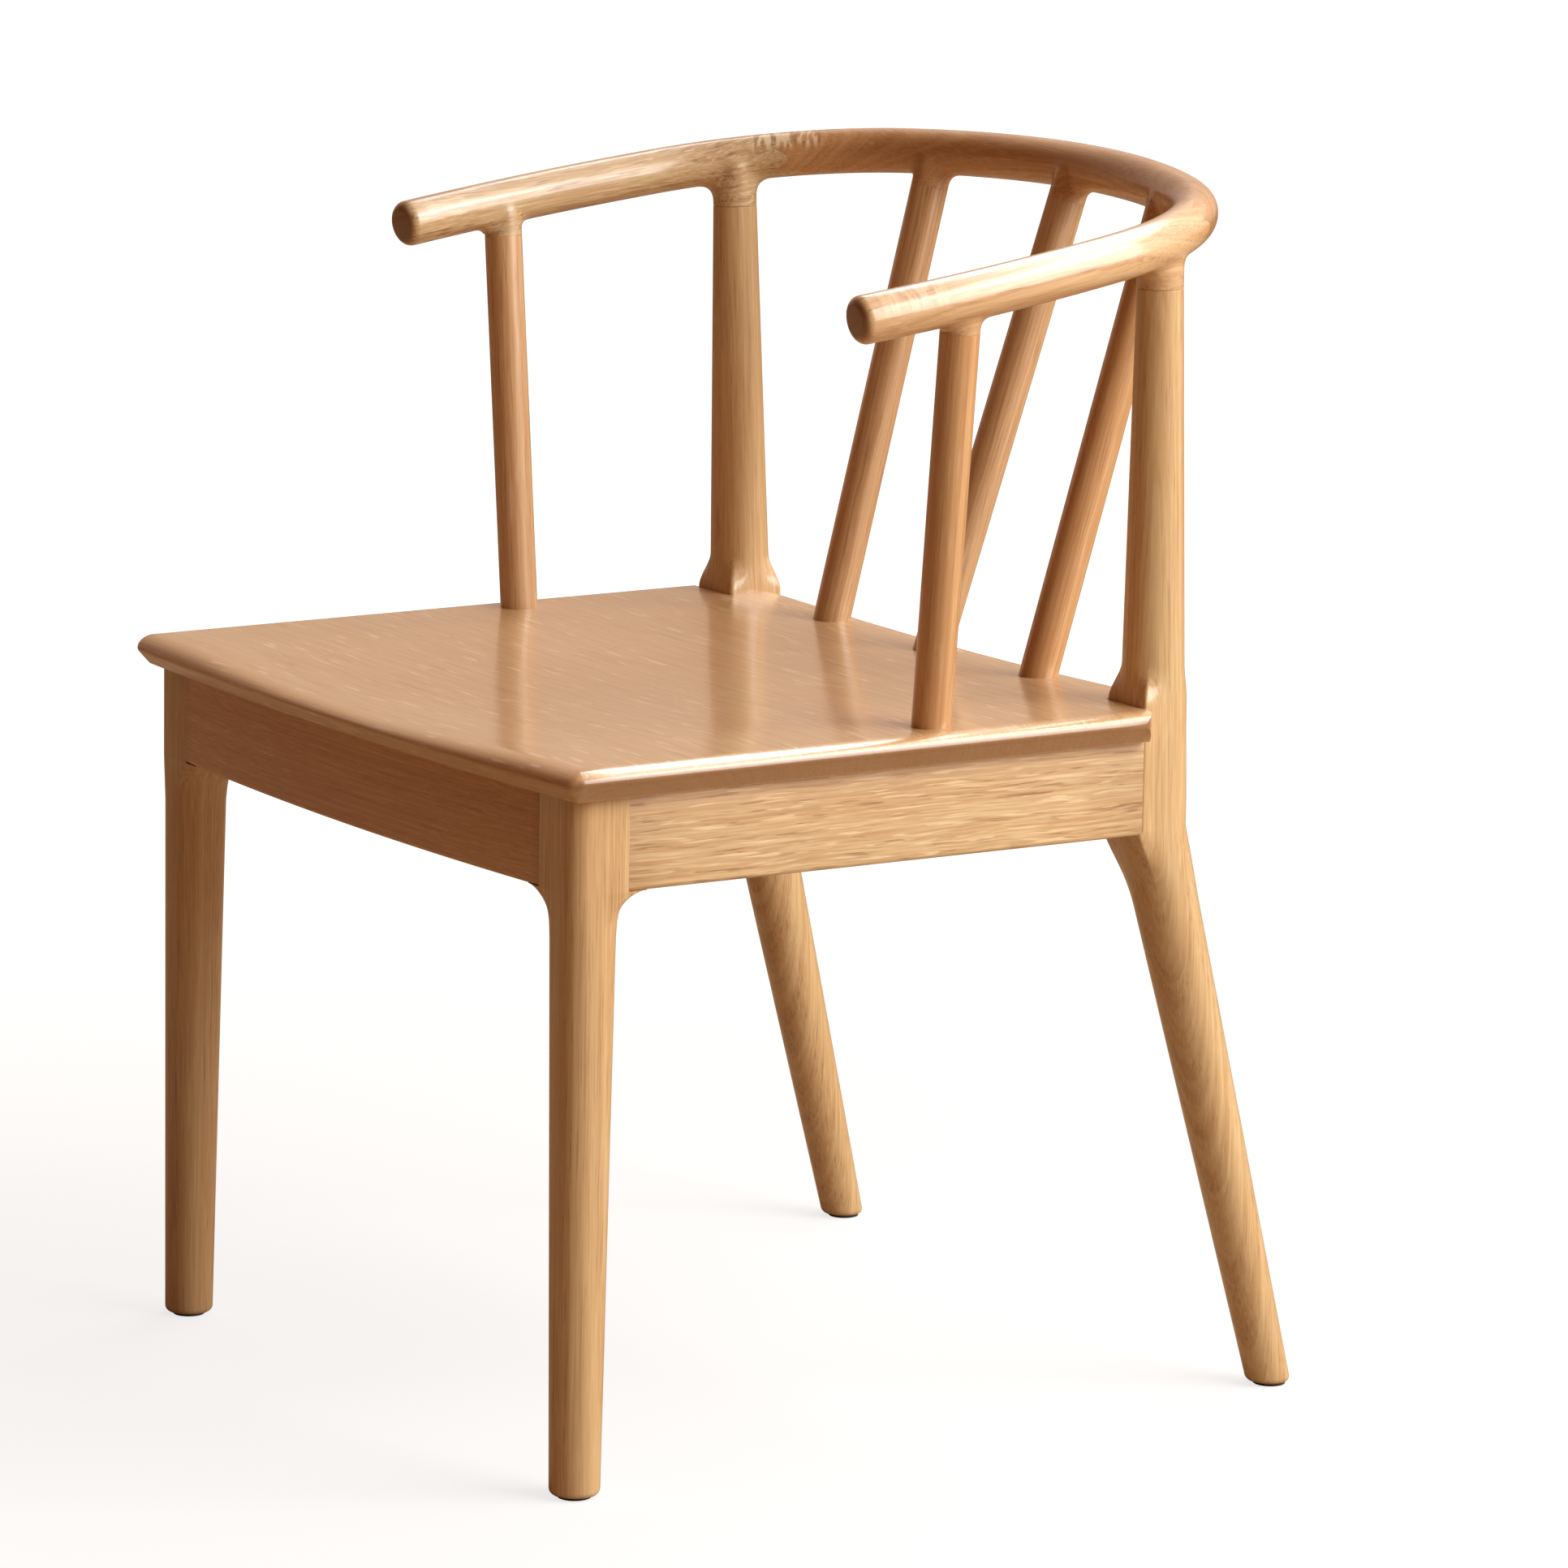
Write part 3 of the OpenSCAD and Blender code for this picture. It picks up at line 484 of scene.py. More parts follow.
def straight_apron(start, way, inward, length, drop=0):
    """Board from a start along a way; its lower edge falls by a drop to its far end."""
    section, rings = board_section(), []
    for k in np.linspace(0, 1, 9):
        deeper = 1 + drop * k / (seat_under - apron_z)
        rings.append(np.array([
            start + way * k * length + inward * d + Z * (seat_under - (seat_under - h) * deeper)
            for d, h in section]))
    return new_mesh(*loft(rings))


def front_apron_mesh():
    """Board on an arc, its ends square to the legs."""
    half = frame_x - LEG_W
    r = (half ** 2 + APRON_BOW ** 2) / (2 * APRON_BOW)
    centre_y = leg_front - APRON_BOW + r
    section, rings = board_section(), []
    for x in np.linspace(-half, half, 49):
        a = math.asin(x / r)
        rings.append(np.array([
            [(r - d) * math.sin(a) + (x - (r - d) * math.sin(a)) * (abs(x) == half),
             centre_y - (r - d) * math.cos(a), h] for d, h in section]))
    return new_mesh(*loft(rings))


# ---- Legs ----
def front_section(z, w, edge, crisp, ear, tab):
    """Section of the left front leg: a rounded square with a tab under each apron."""
    out_x, in_x, near, back = frame_x, frame_x - w, leg_front, leg_front + w
    ear = max(ear, HAIR)
    return level(rounded([
        (out_x, near, edge, 12), (out_x, back + ear, crisp, 8),
        (out_x - tab, back + ear, 0, 0), (out_x - tab, back, 0, 0),
        (in_x, back, crisp, 8), (in_x, near + tab, 0, 0),
        (in_x - ear, near + tab, 0, 0), (in_x - ear, near, crisp, 8)]), z)


def front_foot_rings():
    """Rounded end of the foot."""
    r = FRONT_FOOT_D / 2
    middle = np.array([frame_x - r, leg_front + r, 0])
    rings = []
    for t in np.radians(np.linspace(0, 80, 7)):
        shrink = 1 - 2 * FOOT_ROUND * (1 - math.sin(t)) / FRONT_FOOT_D
        ring = front_section(0, FRONT_FOOT_D, r - HAIR, r - HAIR, 0, r)
        ring = (ring - middle) * [shrink, shrink, 1] + middle
        ring[:, 2] = glide_t + FOOT_ROUND * (1 - math.cos(t))
        rings.append(ring)
    return rings


def front_shaft_ring(z, k):
    """Tapering shaft, from the round foot at k = 0 to the rounded square at 1."""
    w = FRONT_FOOT_D + (SHAFT_W - FRONT_FOOT_D) * k
    r = min(w / 2 - HAIR, SHAFT_R + (FRONT_FOOT_D / 2 - SHAFT_R) * (1 - k))
    return front_section(z, w, r, r, 0, w / 2)


def front_ear_ring(z, k):
    """The shaft spreading into the ears under the aprons, complete at k = 1."""
    climb = min(max(z - (apron_z - EAR_R), 0), EAR_R)
    ear = EAR_R - math.sqrt(EAR_R ** 2 - climb ** 2)
    crisp = SHAFT_R + (CRISP_R - SHAFT_R) * max((k - 0.25) / 0.75, 0) ** 2
    edge = SHAFT_R + (LEG_EDGE_R - SHAFT_R) * k
    tab = SHAFT_W / 2 + (APRON_T - SHAFT_W / 2) * k
    return front_section(z, SHAFT_W + (LEG_W - SHAFT_W) * k, edge, crisp, ear, tab)


def front_leg_mesh():
    foot_z, blend_z = glide_t + FOOT_ROUND, apron_z - EAR_BLEND
    rings = front_foot_rings()
    rings += [front_shaft_ring(z, (z - foot_z) / (blend_z - foot_z))
              for z in np.linspace(foot_z, blend_z, 26)]
    rings += [front_ear_ring(blend_z + EAR_BLEND * k, k)
              for k in np.sin(np.radians(np.linspace(0, 90, 24)))[1:]]
    rings += [front_section(z, LEG_W, LEG_EDGE_R, ARRIS * 0.2, 0, APRON_T)
              for z in np.linspace(apron_z + HAIR / 2, seat_under, 5)]
    return new_mesh(*loft(rings))


def rear_square():
    """Outline of the rear leg's block about its middle, anticlockwise from outer front."""
    h = REAR_W / 2
    corners = [(h, -h, 1.6, 8), (h, 0, 1, 0), (h, h, REAR_BACK_R, 16), (0, h, 1, 0),
               (-h, h, 2.5, 8), (-h, 0, 1, 0), (-h, -h, 2.5, 8), (0, -h, 1, 0)]
    outline = rounded(corners)
    finer = []
    for a, b in zip(outline, np.roll(outline, -1, 0)):
        steps = max(1, round(np.linalg.norm(b - a) / 1.6))
        finer += [a + (b - a) * k / steps for k in range(steps)]
    return np.array(finer)


SQUARE = rear_square()
REACH = np.linalg.norm(SQUARE, axis=1)
RAYS = SQUARE / REACH[:, None]
AHEAD, BEHIND = np.clip(-RAYS[:, 1], 0, 1), np.clip(RAYS[:, 1], 0, 1)
SOFT, FIRM = (2 * AHEAD * np.clip(side * RAYS[:, 0], 0, 1) for side in (1, -1))


def rear_ring(shape, z, ear=0.0):
    """Section of the rear leg at a height, filled out where the leg bends."""
    rake = np.array([REAR_SPLAY, REAR_RAKE])
    outline = rear_mid + rake * max(apron_z - z, 0) / (apron_z - glide_t) + shape
    bend = smooth((seat_top - z) / SWELL_IN)
    bend = bend * (1 - smooth((apron_z + SWELL_TOP - z) / SWELL_OUT))
    outline[:, 1] += REAR_SWELL * bend * BEHIND - ear * AHEAD
    return level(outline, z)


def rear_lower_rings():
    """The raked leg, from its round foot to the square under the apron. The outer front corner
    (soft) turns square late, and the inner front one (firm) early."""
    neck_z, foot_z = apron_z - REAR_NECK, glide_t + FOOT_ROUND
    rings = [rear_ring(RAYS * (REAR_FOOT_D / 2 - FOOT_ROUND * (1 - math.sin(t))),
                       glide_t + FOOT_ROUND * (1 - math.cos(t)))
             for t in np.radians(np.linspace(0, 80, 7))]
    for z in np.linspace(foot_z, neck_z, 24):
        r = (REAR_FOOT_D + (REAR_NECK_D - REAR_FOOT_D) * (z - foot_z) / (neck_z - foot_z)) / 2
        rings.append(rear_ring(RAYS * r, z))
    for k in np.linspace(0, 1, 22)[1:]:
        z = neck_z + (apron_z - neck_z) * k
        square_by = k ** 1.3 * (1 - SOFT - FIRM) + k ** 3 * SOFT + smooth(k) * FIRM
        r = REAR_NECK_D / 2 + (REACH - REAR_NECK_D / 2) * square_by
        ear = REAR_EAR * (1 - smooth((apron_z - z) / REAR_EAR_H))
        rings.append(rear_ring(RAYS * r[:, None], z, ear))
    return rings


def back_post_rings():
    """The coved change from square to round, and the tapering post up to its seam."""
    top, base_r, top_r = rail_target(BACK_POST_S), POST_D / 2, POST_TOP_D / 2
    axis = unit(top - back_base)
    rings = []
    for h in np.linspace(0, SHOULDER_H, 26)[1:]:
        middle = back_base + axis * h / axis[2]
        rel = level(rear_mid + SQUARE, seat_top + h) - middle
        far = np.linalg.norm(rel, axis=1)
        far = (base_r + (far - base_r) * (1 - smooth(h / SHOULDER_H))) / far
        rings.append(middle + rel * far[:, None])
    across = unit(np.cross(Y, axis))
    turn = RAYS @ np.array([across, np.cross(axis, across)])
    seam = np.linalg.norm(top - back_base) - BACK_STUB
    for h in np.linspace(SHOULDER_H, seam - SEAM, 26)[1:]:
        r = base_r + (top_r - base_r) * (h - SHOULDER_H) / (seam - SHOULDER_H)
        rings.append(back_base + axis * h + turn * r)
    rings.append(back_base + axis * seam + turn * (top_r - SEAM))
    return rings


def rear_leg_mesh():
    block = [rear_ring(SQUARE, z) for z in np.linspace(apron_z + HAIR / 2, seat_top, 14)]
    return new_mesh(*loft(rear_lower_rings() + block + back_post_rings()))


# ---- Posts and spindles ----
def upright_mesh(base, top, stub):
    """Round post from its housing in the seat to its seam under the rail."""
    axis, r = unit(top - base), THIN_D / 2
    seam = np.linalg.norm(top - base) - stub
    across = unit(np.cross(Y, axis))
    turn = np.array([math.cos(a) * across + math.sin(a) * np.cross(axis, across)
                     for a in np.linspace(0, 2 * math.pi, 49)[:-1]])
    rings = [base + axis * h + turn * r for h in np.linspace(-HOUSING, seam - THIN_SEAM, 24)]
    rings.append(base + axis * seam + turn * (r - THIN_SEAM))
    return new_mesh(*loft(rings))


# ---- Rail ----
AROUND = 48                        # points round the rail
STEP = 3.2                         # about, between its rings
HALF_HOLE = 14                     # points round the rail, each side of a stub's middle
PATCH_ROWS, PATCH_ROUNDS = 11, 14  # rings in a stub's patch, and how often they are evened
STRAIGHT = 1.5                     # plain end of a stub above its seam
DOME = 0.4 * rail_r                # depth of the domed top of a stub inside the rail


def make_stub(s, base, d, length, blend):
    """Stub under the rail at a length s, on the line down to a base."""
    top = rail_target(s)
    return {"s": s, "top": top, "axis": unit(base - top), "r": d / 2, "length": length,
            "blend": blend, "seam": THIN_SEAM if d == THIN_D else SEAM}


def shape_distance(points, stubs):
    """Distance from the rail with its stubs, blended where their surfaces meet at an angle."""
    d, normal = rail_distance(points)
    for stub in stubs:
        rel = points - stub["top"]
        depth = np.maximum(rel @ stub["axis"], DOME)
        away = rel - np.outer(depth, stub["axis"])
        reach = np.linalg.norm(away, axis=1)
        d2, n2 = reach - stub["r"], away / np.maximum(reach, 1e-6)[:, None]
        width = stub["blend"] * np.clip(1 - (normal * n2).sum(1), 0, 1) + 1e-3
        mix = np.clip(0.5 + 0.5 * (d2 - d) / width, 0, 1)
        d = d2 * (1 - mix) + d * mix - width * mix * (1 - mix)
        normal = unit(n2 * (1 - mix)[:, None] + normal * mix[:, None])
    return d, normal


def settle(points, stubs, times=4):
    """Moves points onto the surface of the rail with its stubs."""
    for _ in range(times):
        d, normal = shape_distance(points, stubs)
        points = points - d[:, None] * normal
    return points


def rail_grid(s_from, s_to, rows):
    """Points of the plain tube, ring after ring."""
    angles = np.linspace(0, 2 * math.pi, AROUND + 1)[:-1]
    grid = []
    for s in np.linspace(s_from, s_to, rows):
        middle, _, out = rail_at(s)
        grid.append(middle + rail_r * (np.outer(np.cos(angles), out)
                                       + np.outer(np.sin(angles), PLANE_W)))
    return np.concatenate(grid)


def stub_hole(stub, way, out, s_from, cell):
    """Cells of the grid that a stub takes up, and the loop of grid places round them."""
    lean = math.atan2(stub["axis"] @ PLANE_W, stub["axis"] @ out)
    i = round((stub["s"] - s_from) / cell)
    j = round(lean / (2 * math.pi / AROUND))
    a, b = math.ceil((stub["r"] + stub["blend"] + 2) / cell), HALF_HOLE
    cells = {(row, k % AROUND) for row in range(i - a, i + a) for k in range(j - b, j + b)}
    loop = [(i - a, k) for k in range(j - b, j + b)]
    loop += [(row, j + b) for row in range(i - a, i + a)]
    loop += [(i + a, k) for k in range(j + b, j - b, -1)]
    loop += [(row, j - b) for row in range(i + a, i - a, -1)]
    return cells, loop


def tip_rings(hoop, middle, way):
    """Straight tip with its rounded end."""
    return [middle + (hoop * (rail_r - TIP_R * (1 - math.cos(t))) / rail_r
                      + way * (TIP_LEN - TIP_R + TIP_R * math.sin(t)))
            for t in np.radians(np.linspace(0, 90, 9))]


def rail_mesh(s_from, s_to, stubs, tip=False):
    """Tube round the rail's line, with a patch let in round each stub."""
    rows = math.ceil((s_to - s_from) / STEP) + 1
    cell = (s_to - s_from) / (rows - 1)
    grid = settle(rail_grid(s_from, s_to, rows), stubs)
    points, faces, gone = [grid], [], set()

    def index(i, j):
        return i * AROUND + j % AROUND

    def close(rim, rings=()):
        """Runs on from a rim of points through more rings, and closes the last one."""
        count, total = len(rim), sum(len(some) for some in points)
        rims = [rim] + [list(range(total + m * count, total + (m + 1) * count))
                        for m in range(len(rings))]
        points.extend(rings)
        faces.extend(strips(rims) + [rims[-1]])

    for stub in stubs:
        _, way, out = rail_at(stub["s"])
        cells, loop = stub_hole(stub, way, out, s_from, cell)
        gone |= cells
        rim = [index(i, j) for i, j in loop]
        close(rim, stub_patch(grid[rim], stub, way, stubs))
    faces += [[index(i, j), index(i, j + 1), index(i + 1, j + 1), index(i + 1, j)]
              for i in range(rows - 1) for j in range(AROUND) if (i, j) not in gone]
    close([index(0, j) for j in range(AROUND)])
    last = [index(rows - 1, j) for j in range(AROUND)]
    middle, way, _ = rail_at(s_to)
    close(last, tip_rings(grid[last] - middle, middle, way) if tip else ())
    return new_mesh(np.concatenate(points), faces)


def stub_patch(loop, stub, way, stubs):
    """Rings from a hole in the rail down to the seam of a stub."""
    top, axis, r = stub["top"], stub["axis"], stub["r"]
    e1 = unit(way - axis * (way @ axis))
    e2 = np.cross(axis, e1)
    rel = loop - top
    turn = np.unwrap(np.arctan2(rel @ e2, rel @ e1))
    count = len(loop)
    sense = math.copysign(1, turn[-1] - turn[0])
    even = sense * 2 * math.pi * np.arange(count) / count
    turn = even + (turn - even).mean()
    spoke = np.outer(np.cos(turn), e1) + np.outer(np.sin(turn), e2)
    side = np.abs(np.sin(turn) * r + POST_OFFSET * 0.5)
    crotch = np.sqrt(np.maximum(rail_r ** 2 - side ** 2, (0.45 * rail_r) ** 2))
    corner = top + spoke * r + np.outer(crotch, axis)
    low = top + spoke * r + axis * (stub["length"] - STRAIGHT)
    rings = [((1 - t) ** 2 * loop + 2 * t * (1 - t) * corner + t * t * low)
             for t in np.linspace(0, 1, PATCH_ROWS + 1)]
    for _ in range(PATCH_ROUNDS):
        for m in range(1, PATCH_ROWS):
            around = (np.roll(rings[m], 1, 0) + np.roll(rings[m], -1, 0)
                      + rings[m - 1] + rings[m + 1]) / 4
            rings[m] = settle(rings[m] * 0.4 + around * 0.6, stubs, 2)
    rings = rings[1:]
    rings.append(top + spoke * r + axis * (stub["length"] - stub["seam"]))
    rings.append(top + spoke * (r - stub["seam"]) + axis * stub["length"])
    return rings


def finger_cutter(side):
    """Zigzag block that cuts the fingers, on the crest side (-1) or the arm side (1)."""
    middle, way, out = rail_at(FINGER_S)
    reach = rail_r + 2
    outline = [((-1 if i % 2 == 0 else 1) * FINGER_LEN / 2 + side * FINGER_GAP,
                -reach + i * reach / FINGERS) for i in range(2 * FINGERS + 1)]
    outline += [(side * 2 * FINGER_LEN, reach), (side * 2 * FINGER_LEN, -reach)]
    return prism(outline, middle, way, out, PLANE_W, -reach, reach)


def crest_mesh():
    stubs = [make_stub(k * SPINDLE_TOP, spindle_base[k], THIN_D, SPINDLE_STUB, THIN_BLEND)
             for k in (-1, 0, 1)]
    reach = FINGER_S + FINGER_LEN / 2 + 1
    block = finger_cutter(1)
    return cut(rail_mesh(-reach, reach, stubs), block, flipped(block))


def arm_mesh():
    stubs = [make_stub(BACK_POST_S, back_base, POST_TOP_D, BACK_STUB, BACK_BLEND),
             make_stub(ARM_POST_S, arm_base, THIN_D, ARM_STUB, THIN_BLEND)]
    start = FINGER_S - FINGER_LEN / 2 - 1
    return cut(rail_mesh(start, END_S, stubs, tip=True), finger_cutter(-1))


# ---- Materials ----
def add(tree, kind, inputs=None, **settings):
    """A shader node with its settings, and its inputs as numbers or links."""
    node = tree.nodes.new("ShaderNode" + kind)
    for name, value in settings.items():
        setattr(node, name, value)
    for name, value in (inputs or {}).items():
        if isinstance(value, bpy.types.NodeSocket):
            tree.links.new(value, node.inputs[name])
        else:
            node.inputs[name].default_value = value
    return node


def maths(tree, operation, *values):
    return add(tree, "Math", dict(enumerate(values)), operation=operation).outputs[0]


def times(tree, one, two):
    return maths(tree, "MULTIPLY", one, two)


def vectors(tree, operation, *values, output="Vector"):
    inputs = dict(enumerate(values))
    return add(tree, "VectorMath", inputs, operation=operation).outputs[output]


def scaled(tree, vector, factors):
    return vectors(tree, "MULTIPLY", vector, factors)


def toned(tree, colour, amount):
    return add(tree, "VectorMath", {0: colour, "Scale": amount}, operation="SCALE").outputs[0]


def attribute(tree, name, output="Fac"):
    return add(tree, "Attribute", attribute_name=name).outputs[output]


def noise(tree, vector, detail, roughness=0.5, output="Fac"):
    return add(tree, "TexNoise", {"Vector": vector, "Scale": 1.0, "Detail": detail,
                                  "Roughness": roughness}).outputs[output]


def ramp(tree, value, low, high, to_low=0.0, to_high=1.0):
    """Smooth step of a value between two others."""
    return add(tree, "MapRange", {"Value": value, "From Min": low, "From Max": high,
                                  "To Min": to_low, "To Max": to_high},
               interpolation_type="SMOOTHSTEP").outputs[0]


def blend_colour(tree, amount, one, two, mode="MIX"):
    return add(tree, "Mix", {0: amount, 6: one, 7: two}, data_type="RGBA",
               blend_type=mode).outputs[2]


def srgb(r, g, b):
    """Linear colour of a display colour given in 0 to 255."""
    return tuple(c / 12.92 if c <= 0.04045 else ((c + 0.055) / 1.055) ** 2.4
                 for c in (r / 255, g / 255, b / 255)) + (1.0,)


def new_material(name):
    material = bpy.data.materials.new(name)
    material.use_nodes = True
    tree = material.node_tree
    return material, tree, tree.nodes["Principled BSDF"]


def surface(tree, shader, colour, roughness, height, relief):
    """Feeds a shader its colour, roughness and fine relief."""
    bump = add(tree, "Bump", {"Height": height, "Strength": relief, "Distance": 0.0002})
    for socket, output in (("Base Color", colour), ("Roughness", roughness),
                           ("Normal", bump.outputs[0])):
        tree.links.new(output, shader.inputs[socket])


def glued_staves(tree, grain, width):
    """The grain's coordinates shifted from each glued stave to the next, and a shade for each."""
    place = add(tree, "SeparateXYZ", {0: grain}).outputs
    row = maths(tree, "FLOOR", maths(tree, "DIVIDE", place[1], width))
    jump = add(tree, "TexWhiteNoise", {"W": row}, noise_dimensions="1D").outputs
    shift = scaled(tree, jump["Color"], (9.0, 0.05, 0.02))
    return vectors(tree, "ADD", grain, shift), times(tree, jump["Value"], 0.10)


def swayed(tree, grain, strength):
    """The grain's coordinates bent, widely and then finely, so that no fibre runs straight."""
    place = grain
    for frequency, reach in (((2.0, 8, 8), 0.007), ((22, 40, 40), 0.003 * strength)):
        sway = noise(tree, scaled(tree, grain, frequency), 1.0, output="Color")
        place = vectors(tree, "MULTIPLY_ADD", sway, (0.0, reach, reach), place)
    return place


def growth_rings(tree, place):
    """Noise drawn out round the pith and along the fibres."""
    parts = add(tree, "SeparateXYZ", {0: place}).outputs
    across = add(tree, "CombineXYZ", {1: parts[1], 2: parts[2]}).outputs[0]
    radius = vectors(tree, "LENGTH", across, output="Value")
    ring_at = add(tree, "CombineXYZ", {0: times(tree, radius, RINGS),
                                       1: times(tree, parts[0], 1.1)}).outputs[0]
    return noise(tree, ring_at, 3.0, 0.65)


def with_rays(tree, colour):
    """Bright strokes with dark gaps between them, where a mesh is marked with rays."""
    place = attribute(tree, "rays", "Vector")
    strokes = noise(tree, scaled(tree, place, (240, 70, 0)), 1.0)
    shows = add(tree, "SeparateXYZ", {0: place}).outputs[2]
    gaps = times(tree, shows, ramp(tree, strokes, 0.40, 0.48, 0.55, 0.0))
    colour = blend_colour(tree, gaps, colour, DARK)
    bright = times(tree, shows, ramp(tree, strokes, 0.50, 0.57, 0.0, 0.9))
    return blend_colour(tree, bright, colour, BRIGHT)


def ground_colour(tree, grain, rings, fibres, shade, pale, mid, strength, figure):
    """Between a pale and a mid colour: bands of growth rings, lines of fibres, slow changes."""
    bands = ramp(tree, rings, 0.34, 0.64, 0.5 - 0.5 * figure, 0.5 + 0.5 * figure)
    lines = ramp(tree, fibres, 0.36, 0.62, 0.3 - 0.3 * strength, 0.3 + 0.3 * strength)
    tone = maths(tree, "ADD", times(tree, bands, 0.5), lines)
    colour = blend_colour(tree, maths(tree, "ADD", tone, shade), pale, mid)
    slow = noise(tree, scaled(tree, grain, (3, 12, 12)), 1.0)
    return blend_colour(tree, ramp(tree, slow, 0.35, 0.75, 0.0, 0.30), colour, mid)


def wood(name, pale, mid, strength=0.6, fineness=1.4, figure=1.0, staves=0.0,
         fleck=(30, 520, 0.56, 0.68, 0.2)):
    """Satin lacquered oak. strength is how much the fibres show and fineness how thin they are,
    figure is the strength of the growth rings, and staves the width of glued staves. A fleck is
    its frequency along and across the fibres, the span of noise in which it comes up, and
    its brightness."""
    material, tree, shader = new_material(name)
    grain, shade = attribute(tree, "grain", "Vector"), 0.0
    if staves:
        grain, shade = glued_staves(tree, grain, staves)
    wood_at = swayed(tree, grain, strength)

    def thread(along, across, detail, roughness=0.5):
        """Noise drawn out along the fibres, in cycles per metre along and across them."""
        thin = across * fineness
        return noise(tree, scaled(tree, wood_at, (along / fineness, thin, thin)), detail,
                     roughness)

    rings, fibres = growth_rings(tree, wood_at), thread(18, 600, 3.0, 0.6)
    ends = attribute(tree, "end_grain")
    along, across, low, high, bright = fleck
    flecks = ramp(tree, thread(along, across, 1.0), low, high, 0.0, bright)
    flecks = times(tree, flecks, maths(tree, "SUBTRACT", 1.0, ends))
    pores = times(tree, ramp(tree, thread(34, 520, 2.0), 0.55, 0.66),
                  ramp(tree, rings, 0.40, 0.58))
    hue = noise(tree, scaled(tree, grain, (5, 30, 30)), 1.0)
    colour = ground_colour(tree, grain, rings, fibres, shade, srgb(*pale), srgb(*mid), strength,
                           figure)
    colour = blend_colour(tree, flecks, colour, BRIGHT)
    colour = blend_colour(tree, times(tree, pores, 0.55 * strength), colour, DARK)
    colour = blend_colour(tree, ramp(tree, hue, 0.35, 0.65), colour, WARMER, "MULTIPLY")
    colour = with_rays(tree, colour)
    # the whole piece's colour scaled by its tone, which is mostly painted light and shade
    colour = toned(tree, colour, attribute(tree, "tone"))
    colour = blend_colour(tree, times(tree, ends, 0.75), colour, DARK)
    height = maths(tree, "SUBTRACT", times(tree, fibres, 0.35), pores)
    surface(tree, shader, colour, ramp(tree, fibres, 0.3, 0.7, 0.34, 0.46), height, 0.2)
    shader.inputs["Coat Weight"].default_value = 1.0
    shader.inputs["Coat Roughness"].default_value = 0.15
    return material


def plain(name, colour, roughness, metallic=0.0, speckle=600.0):
    """Metal, plastic or bare wood with a fine unevenness."""
    material, tree, shader = new_material(name)
    colour = srgb(*colour)
    place = add(tree, "TexCoord").outputs["Object"]
    fine = noise(tree, scaled(tree, place, (speckle,) * 3), 3.0)
    dark = tuple(c * 0.8 for c in colour[:3]) + (1.0,)
    sheen = ramp(tree, fine, 0.3, 0.7, roughness - 0.06, roughness + 0.06)
    surface(tree, shader, blend_colour(tree, fine, dark, colour), sheen, fine, 0.15)
    shader.inputs["Metallic"].default_value = metallic
    return material


RINGS = 300.0                      # growth bands in a metre
DARK, BRIGHT = srgb(126, 76, 38), srgb(250, 226, 186)      # pores, and flecks and rays
WARMER = (1.0, 0.965, 0.93, 1)
oak = wood("oak", (230, 196, 150), (200, 153, 107))
oak_leg = wood("oak_leg", (230, 203, 153), (201, 160, 111), strength=0.5)
oak_board = wood("oak_board", (231, 205, 160), (201, 162, 116), strength=1.0, fineness=1.0,
                 fleck=(30, 520, 0.57, 0.68, 0.6))
oak_warm = wood("oak_warm", (230, 186, 134), (200, 144, 90), strength=0.4)
oak_panel = wood("oak_panel", (234, 202, 152), (205, 160, 110), strength=0.5, figure=0.45,
                 staves=0.0772, fleck=(40, 170, 0.65, 0.71, 0.6))
beech = plain("beech", (205, 165, 125), 0.5, speckle=400.0)
steel = plain("zinc_plate", (176, 178, 176), 0.32, metallic=1.0)
nylon = plain("nylon", (74, 64, 56), 0.55)

# ---- Pieces ----
finish_piece("seat", seat_mesh(), ["seat_panel"], oak_panel, X, Y, pith=(0.16, 0.05), turn=0)
finish_piece("apron_front", front_apron_mesh(), ["front_apron"], oak_warm, X, Z)
rear_y = rear_front + REAR_W - REAR_APRON_INSET
rear_board = straight_apron(np.array([rear_inner, rear_y, 0]), -X, -Y, 2 * rear_inner)
finish_piece("apron_rear", rear_board, ["rear_apron"], oak_board, X, Z)
side_board = straight_apron(np.array([frame_x, leg_back, 0]), Y, -X, rear_front - leg_back,
                            SIDE_APRON_DROP)
both_sides("apron", "side_apron", side_board, [oak_board] * 2, Y, Z)

# Tones here are painted light and shade: the near front leg lighter, the far one darker, as the
# light falls off
both_sides("leg_front", "front_leg", front_leg_mesh(), [oak_leg] * 2, Z, board_and_shade_tones=(1.04, 0.94))
both_sides("leg_rear", "rear_leg", rear_leg_mesh(), [oak_leg] * 2,
           rail_target(BACK_POST_S) - back_base)

arm_top, spindle_top, centre_top = map(rail_target, (ARM_POST_S, SPINDLE_TOP, 0))
both_sides("post_arm", "arm_post", upright_mesh(arm_base, arm_top, ARM_STUB),
           [oak_warm, oak], arm_top - arm_base, board_and_shade_tones=(0.96, 1.0))
both_sides("spindle", "back_spindle",
           upright_mesh(spindle_base[1], spindle_top, SPINDLE_STUB),
           [oak_warm, oak], spindle_top - spindle_base[1], board_and_shade_tones=(0.9, 0.96))
finish_piece("spindle_centre", upright_mesh(spindle_base[0], centre_top, SPINDLE_STUB),
             ["back_spindle_centre"], oak, centre_top - spindle_base[0], tone=0.94)

